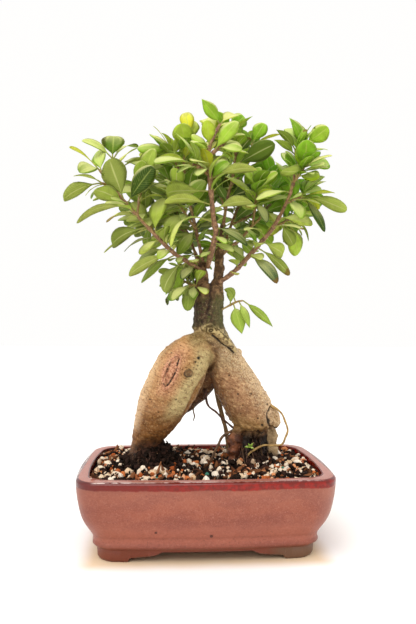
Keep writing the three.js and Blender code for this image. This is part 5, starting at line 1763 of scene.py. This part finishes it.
def leaf_looks(leaves, seed):
    """Each leaf's tone (0 yellow to 1 dark green), dullness and brown tip: fresh and pale high in the crown,
    brightest high on the right, dull and olive low on the left, with painted shade inside the crown, at its
    back and low under it, and painted light on leaves that face up."""
    draw = np.random.default_rng(seed)
    middle = np.array([(leaf["base"] + leaf["tip"]) / 2 for leaf in leaves])
    x, y, z = middle.T
    low = 1 - share_of(z, 215, 350)
    bright = smooth(x, 40, 70) * smooth(z, 270, 300)
    inside = 1 - share_of(np.hypot(x / 95, (z - 285) / 80), 0.1, 0.8)
    left = smooth(x, -10, -60)
    faces_up = np.array([abs(leaf["up"][2]) / np.linalg.norm(leaf["up"]) for leaf in leaves])
    # Painted shade makes leaves inside the crown, at its back and low under it darker, and painted light makes
    # leaves that face up lighter.
    tone = 0.3 + 0.2 * low + 0.3 * inside + draw.normal(0, 0.16, len(leaves)) + 0.1 * left
    tone += 0.36 * smooth(y, -5, 30) - 0.25 * smooth(faces_up, 0.5, 1.0) + 0.14 * smooth(z, 235, 205)
    tone -= 0.08 * smooth(x, 20, 60) + 0.06 * smooth(z, 320, 350)
    dull = 0.3 * left + 0.3 * low + draw.normal(0, 0.15, len(leaves)) - 0.5 * bright
    vivid = bright + 0.5 * smooth(x, 0, 60) * (1 - low) + draw.normal(0, 0.25, len(leaves))
    burn = (draw.random(len(leaves)) < 0.06) * draw.uniform(0.3, 0.7, len(leaves))
    shoot = np.array([leaf["pointed"] for leaf in leaves])
    tone = np.where(shoot, 0.25 + 0.1 * draw.random(len(leaves)), tone)
    vivid = np.where(shoot, 0.2, vivid)
    for i, leaf in enumerate(leaves):
        if leaf["mark"] in LEAF_MARKS:
            tone[i], dull[i], burn[i], vivid[i] = np.array(LEAF_MARKS[leaf["mark"]]) / 100
    return np.clip(tone, 0, 1), np.clip(dull, 0, 1), burn, np.clip(vivid, 0, 1)


def leaf_finish(looks, pale):
    """A leathery blade: glossy above with a pale midrib, faint side veins and a pale edge, painted highlights
    in flecks and where it faces up, painted shade in patches, dull and greyer below with a raised rib, some
    with a brown tip."""
    m = Maker("pale_shoot_leaf" if pale else "fig_leaf")
    at = m.place()
    x, y, z = m.parts(at)
    u, v, _ = m.parts(m.add("ShaderNodeUVMap", {"uv_map": "blade"}))
    below = v.eased(0.4995, 0.5005)
    side = abs(abs(v - 0.5) * 4 - 1)
    tone, dull, burn = m.share("tone"), m.share("dull"), m.share("burn")
    cloud = m.noise(at, 9, 3, 0.6)
    mottle = m.noise(at, 2.2, 3, 0.6, 5)
    greens = [
        (0.0, looks.yellow), (0.26, looks.fresh), (0.58, looks.green), (0.86, looks.dark), (1.0, "2b4a34"),
    ]
    colour = m.coats(
        m.ramp(tone + (cloud - 0.5) * 0.25, greens),
        (dull * 0.8 * tone.eased(1.0, 0.9), tone.shades(0.25, 0.85, "d9d27c", "465022")),
        (m.share("vivid") * 0.7, "68b814"),
        # Painted shade: darker patches over the leaves.
        (cloud.eased(0.6, 0.35) * 0.32, "33480c"),
    )
    if pale:
        colour = m.blend(0.5, colour, "a6bc5c")
    vein_wave = ((u * SIDE_VEINS - side * 2.6 + (cloud - 0.5) * 0.5) * FULL_TURN).sine()
    veins = vein_wave.eased(0.72, 0.98) * side.eased(0.02, 0.2) * side.eased(1.0, 0.8)
    midrib = side.eased(0.1, 0.03) * u.eased(1.02, 0.8)
    edge = side.eased(0.84, 0.95)
    _, _, skyward = m.parts(m.add("ShaderNodeNewGeometry", output="Normal"))
    upper = m.coats(
        colour,
        (veins * 0.2, "c3d060"),
        (midrib * (0.6 - tone * 0.35), "ccd66c"),
        (edge * 0.45, "d6dc74"),
        # Painted highlights: pale flecks, and a pale sheen where the blade faces up.
        (mottle.eased(0.55, 0.75) * 0.15, "d4de70"),
        (skyward.eased(0.2, 0.8) * (1 - tone * 0.5) * 0.9, "fbf9a6"),
    )
    under = m.coats(
        colour,
        (0.14 + dull * 0.45, "b3bd66"),
        (veins * 0.3, "7f8a42"),
        (midrib * 0.8, "d2d68a"),
        (edge * 0.4, "d2d68a"),
    )
    brown = ((u - 1 + burn * 0.3) * 8 + (mottle - 0.5) * 1.6).eased(0.2, 0.9) * burn.eased(0.02, 0.1)
    spot_gap = (abs((x - SPOT[0]) / 3) ** 2 + abs((z - SPOT[1]) / 8) ** 2) ** 0.5
    spot = (spot_gap + (mottle - 0.5) * 1.4).eased(1.1, 0.7) * y.eased(-6, 0)
    stalk = u.eased(0.012, 0.004)
    blade = m.coats(
        m.blend(below, upper, under),
        (brown * 0.85, "755525"),
        (spot * 0.9, "3a1c0c"),
        (stalk, "a3a455"),
    )
    rough = 0.36 + below * 0.22 + dull * 0.12 + (cloud - 0.5) * 0.1
    height = veins * -0.5 * (1 - below) + veins * 0.7 * below + midrib * (below * 1.6 - 0.8) + mottle * 0.25
    normal = m.bump(height, 0.16)
    gloss = m.principled(blade, rough, normal, 0.07)
    glow = m.blend(0.5, blade, "c3da2a")
    through = m.add("ShaderNodeBsdfTranslucent", None, {"Color": glow, "Normal": normal})
    share = (1 - stalk) * (1 - brown * 0.7) * (1 - tone * 0.6) * 0.38
    return m.finish(m.add("ShaderNodeMixShader", None, {0: share, 1: gloss, 2: through}))


# The seedling at the right foot: the way of each small leaf, in degrees from upright, and its length.
SPROUT = [[-80, 4.5], [-20, 4], [35, 5], [100, 3.5]]
SPROUT_JOINT = np.array([37, -16, 76.5])


def make_blades(name, leaves, seed, looks, finish, slot, replaced=()):
    """One mesh of the blades of some leaves, with each leaf's looks kept at all its points."""
    points, lengthwise = leaf_blades(leaves, seed)
    count, rings, sides = points.shape[:3]
    shares = {key: np.repeat(values, rings * sides) for key, values in zip(LEAF_SHARES, looks)}
    maps = {"blade": ring_map(count, rings, sides, lengthwise)}
    make_piece(name, points, ring_faces(count, rings, sides), finish, slot, replaced, shares, maps)


def make_sprout(finish):
    """A seedling: small pointed leaves in a fan from one joint, each a closed blade like the tree's."""
    leaves = []
    for degrees, length in SPROUT:
        turn = math.radians(degrees)
        tip = SPROUT_JOINT + [length * math.sin(turn), -2, length * math.cos(turn)]
        leaves.append(leaf_of(SHOOT, SPROUT_JOINT, tip, (0, -1, 0.5), 1.9, 0.1))
    looks = [np.full(len(leaves), value) for value in (0.4, 0, 0, 1)]
    make_blades("green_sprout", leaves, 31, looks, finish, "rootstock_leaves")


def make_leaves(leaves, finishes):
    """The blades of each branch as one piece that stands for the branch's node."""
    for b, branch in enumerate(EVERY_BRANCH):
        if not leaves[b]:
            continue
        pale = branch.get("pointed", False)
        make_blades(
            "leaves_" + branch["name"], leaves[b], 100 + b, leaf_looks(leaves[b], 200 + b), finishes[pale],
            "rootstock_leaves" if pale else "fig_leaves", (branch["name"],),
        )


# ---- the stems ----

# The bare stem's share of the solid's thickness, between the joints.
STEM_SHARE = 0.8
FRONT_STEM_SHARE = 1.22
STEM_SIDES = 10


def make_stems(leaves, finish):
    """Each branch's stems as bars that swell a little at every leaf's joint."""
    for b, branch in enumerate(EVERY_BRANCH):
        bars, ages = [], []
        share = FRONT_STEM_SHARE if branch["name"] == "branch_front" else STEM_SHARE
        for stem in branch["stems"]:
            route = np.asarray(stem["route"], float)
            radius = np.linspace(*stem["radius"], len(route))
            fine = smooth_route(np.column_stack([route, radius]), 8)
            joints = np.array([leaf["base"] for leaf in leaves[b]] or [[0, 0, 0]], float)
            gap = np.linalg.norm(fine[:, None, :3] - joints[None], axis=-1).min(1)
            fine[:, 3] *= share * (1 + 0.34 * bell(gap, 1.6))
            fine[:, 3] *= 1 + 0.14 * lattice_noise(fine[:, :3], 2.4, 60 + b)
            fine[-1, 3] *= 0.6
            bars.append(swept(fine, STEM_SIDES))
            ages.append(np.repeat(share_of(fine[:, 3], 2.2, 0.9), STEM_SIDES))
        points, faces = joined(bars)
        make_piece(
            "stems_" + branch["name"], points, faces, finish, "fig_bark", (branch["name"],),
            {"young": np.concatenate(ages)},
        )


def stem_finish():
    """Red-brown twigs with pale specks, greener towards the tips."""
    m = Maker("red_brown_twig")
    at = m.place()
    blotch = m.noise(at, 2.4, 4, 0.65)
    speck = m.noise(at, 0.7, 2, 0.6, 4)
    colour = m.coats(
        m.ramp(blotch, [(0.3, "4b2f1e"), (0.55, "8d6443"), (0.75, "c29d74")]),
        (m.share("young").eased(0.35, 1.0) * 0.7, m.ramp(blotch, [(0.3, "7b5428"), (0.7, "aa9848")])),
        (speck.eased(0.62, 0.72) * 0.5, "c0a581"),
    )
    return m.finish(m.principled(colour, 0.6, m.bump(blotch + speck * 0.4, 0.25)))


# ---- the stage ----

EYE = np.array([-29.663, -480.866, 171.033])
EYE_RIGHT = np.array([0.997664, -0.068132, 0.005001])
EYE_UP = np.array([-0.007451, -0.035742, 0.999333])
SENSOR = 36
PHOTO_HEIGHT = 624
PHOTO_FOCAL = 563.1
FLOOR_REACH = 6.0
# The painted cream shadow on the floor fades out from this far along x and y.
PAINTED_SHADOW_INSIDE = [84, 56]


def in_frame(spot):
    """A place in millimetres from the pot's middle, as one in the frame's metres."""
    return Vector(np.asarray(spot, float) * MM + MIDDLE)


def floor_finish(looks):
    """Plain white, with a painted cream shadow round the pot's feet."""
    m = Maker("plain_white_floor")
    at = m.place()
    x, y, _ = m.parts(at)
    wide = (abs(x) - PAINTED_SHADOW_INSIDE[0]).most(0)
    deep = (abs(y) - PAINTED_SHADOW_INSIDE[1]).most(0)
    cloud = m.noise(at, 30, 3)
    # Painted shadow: cream near the pot's feet, fading out with the distance.
    near = ((wide * wide + deep * deep) ** 0.5 + (cloud - 0.5) * 4).eased(17, -3)
    return m.finish(m.principled(m.blend(near * 0.8, looks.floor, "e3c08a"), 0.9))


def make_stage(looks):
    """A plain white floor, a white world, two soft far lights and the camera."""
    scene = bpy.context.scene
    floor = bpy.data.meshes.new("floor")
    corners = [(-FLOOR_REACH, -FLOOR_REACH, 0), (FLOOR_REACH, -FLOOR_REACH, 0),
               (FLOOR_REACH, FLOOR_REACH, 0), (-FLOOR_REACH, FLOOR_REACH, 0)]
    floor.from_pydata(corners, [], [(0, 1, 2, 3)])
    floor_piece = bpy.data.objects.new("floor", floor)
    scene.collection.objects.link(floor_piece)
    floor.materials.append(floor_finish(looks))

    world = bpy.data.worlds.new("white_studio")
    scene.world = world
    world.use_nodes = True
    world.node_tree.nodes["Background"].inputs[0].default_value = (1, 0.995, 0.985, 1)
    world.node_tree.nodes["Background"].inputs[1].default_value = looks.surround

    lights = [
        ("high_light", (-0.45, -0.75, 1.5), looks.top_light, 50),
        ("left_light", (-1.0, -0.7, 0.5), looks.left_light, 70),
    ]
    for name, toward, strength, spread in lights:
        light = bpy.data.lights.new(name, "SUN")
        light.energy, light.angle = strength, math.radians(spread)
        lamp = bpy.data.objects.new(name, light)
        lamp.rotation_euler = (-Vector(toward)).to_track_quat("-Z", "Y").to_euler()
        scene.collection.objects.link(lamp)

    camera = bpy.data.cameras.new("camera")
    camera.sensor_fit, camera.sensor_height = "VERTICAL", SENSOR
    camera.lens = PHOTO_FOCAL / PHOTO_HEIGHT * SENSOR
    camera.clip_start, camera.clip_end = 0.01, 50
    eye = bpy.data.objects.new("camera", camera)
    right = EYE_RIGHT / np.linalg.norm(EYE_RIGHT)
    back = unit(np.cross(right, EYE_UP))
    up = np.cross(back, right)
    turn = Matrix(np.stack([right, up, back], -1).tolist()).to_4x4()
    eye.matrix_world = Matrix.Translation(in_frame(EYE)) @ turn
    scene.collection.objects.link(eye)
    scene.camera = eye
    scene.view_settings.view_transform = "Standard"


# ---- the sizes and colours that a user may change ----

def colour_property(name, description, code):
    return FloatVectorProperty(
        name=name, description=description, default=paint(code), size=4, min=0, max=1, subtype="COLOR",
    )


class PotLooks(PropertyGroup):
    """The pot's glaze."""
    body_light: colour_property("Light glaze", "Where the glaze lies thin", "96513b")
    body_dark: colour_property("Dark glaze", "Where the glaze lies thick", "844434")
    band: colour_property("Band", "Pooled glaze under the lip", "6c1609")


def count_property(name, description, default, most):
    return IntProperty(name=name, description=description, default=default, min=0, max=most)


def strength_property(name, description, default):
    return FloatProperty(name=name, description=description, default=default, min=0)


class SoilLooks(PropertyGroup):
    """The potting mix."""
    bark_chips: count_property("Bark chips", "Dark chips lying on the mix", 1500, 4000)
    pale_grains: count_property("Pale grains", "White volcanic grit", 740, 3000)
    orange_grains: count_property("Orange grains", "Fired clay grit", 390, 3000)
    slivers: count_property("Slivers", "Brown bark slivers", 420, 3000)


class WoodLooks(PropertyGroup):
    """The roots and the trunk."""
    skin: colour_property("Skin", "The swollen roots' skin", "9c7441")
    skin_pale: colour_property("Pale skin", "Its lighter parts", "bd8d5e")


class LeafLooks(PropertyGroup):
    """The leaves."""
    extra: count_property("Inner leaves", "Tries at small leaves in the gaps", 540, 2000)
    yellow: colour_property("Yellow", "The youngest leaves", "f8f23e")
    fresh: colour_property("Fresh green", "Leaves at the top", "cce850")
    green: colour_property("Green", "Leaves in the middle", "8cb42a")
    dark: colour_property("Dark green", "Old leaves", "264e0f")


class StageLooks(PropertyGroup):
    """The floor and the light."""
    floor: colour_property("Floor", "The plain floor", "fbf9f6")
    surround: strength_property("Surround", "Strength of the white world", 1.0)
    top_light: strength_property("High light", "Strength of the light from above", 1.6)
    left_light: strength_property("Left light", "Strength of the light from the left", 0.5)


LOOKS = {
    "bonsai_pot": PotLooks, "bonsai_soil": SoilLooks, "bonsai_wood": WoodLooks, "bonsai_leaf": LeafLooks,
    "bonsai_stage": StageLooks,
}


# ---- one operator for each group of pieces ----

class MakeStage(Operator):
    """Puts up the floor, the light and the camera"""
    bl_idname = "bonsai.stage"
    bl_label = "Floor, light and camera"

    def execute(self, context):
        make_stage(context.scene.bonsai_stage)
        return {"FINISHED"}


class MakePot(Operator):
    """Makes the glazed pot and dresses its drainage meshes"""
    bl_idname = "bonsai.pot"
    bl_label = "Pot"

    def execute(self, context):
        make_pot(glaze_finish(context.scene.bonsai_pot))
        plastic = plastic_finish()
        for name in ("drain_mesh_left", "drain_mesh_right"):
            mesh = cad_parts[name].data
            mesh.materials.clear()
            mesh.materials.append(plastic)
        return {"FINISHED"}


class MakeSoil(Operator):
    """Makes the bed of mix and the grains that lie on it"""
    bl_idname = "bonsai.soil"
    bl_label = "Potting mix"

    def execute(self, context):
        make_soil_bed(soil_finish())
        finishes = {kind: grain_finish(*look) for kind, look in GRAIN_FINISHES.items()}
        make_grains(context.scene.bonsai_soil, {**finishes, "bead": bead_finish()})
        return {"FINISHED"}


class MakeWood(Operator):
    """Makes the swollen roots, the trunk and the thin roots"""
    bl_idname = "bonsai.wood"
    bl_label = "Roots and trunk"

    def execute(self, context):
        make_wood(wood_finish(context.scene.bonsai_wood))
        slim = thin_root_finish()
        make_thin_roots(slim)
        make_root_hairs(slim)
        return {"FINISHED"}


class MakeCrown(Operator):
    """Makes the stems and the leaves of every branch"""
    bl_idname = "bonsai.crown"
    bl_label = "Branches and leaves"

    def execute(self, context):
        looks = context.scene.bonsai_leaf
        leaves = grow_leaves(looks.extra)
        make_stems(leaves, stem_finish())
        finishes = {pale: leaf_finish(looks, pale) for pale in (False, True)}
        make_leaves(leaves, finishes)
        make_sprout(finishes[True])
        return {"FINISHED"}


OPERATORS = [MakeStage, MakePot, MakeSoil, MakeWood, MakeCrown]


class BonsaiPanel(Panel):
    """Lists the sizes, the colours and the steps"""
    bl_idname = "VIEW3D_PT_bonsai"
    bl_label = "Potted bonsai"
    bl_space_type = "VIEW_3D"
    bl_region_type = "UI"
    bl_category = "Bonsai"

    def draw(self, context):
        for key, looks in LOOKS.items():
            box = self.layout.box()
            for field in looks.__annotations__:
                box.prop(getattr(context.scene, key), field)
        for operator in OPERATORS:
            self.layout.operator(operator.bl_idname)


CLASSES = [*LOOKS.values(), *OPERATORS, BonsaiPanel]


def register():
    for item in CLASSES:
        bpy.utils.register_class(item)
    for key, looks in LOOKS.items():
        setattr(bpy.types.Scene, key, PointerProperty(type=looks))


def unregister():
    for key in LOOKS:
        delattr(bpy.types.Scene, key)
    for item in reversed(CLASSES):
        bpy.utils.unregister_class(item)


def main():
    """Runs every step in order."""
    register()
    for operator in OPERATORS:
        group, name = operator.bl_idname.split(".")
        getattr(getattr(bpy.ops, group), name)()


if __name__ == "__main__":
    main()
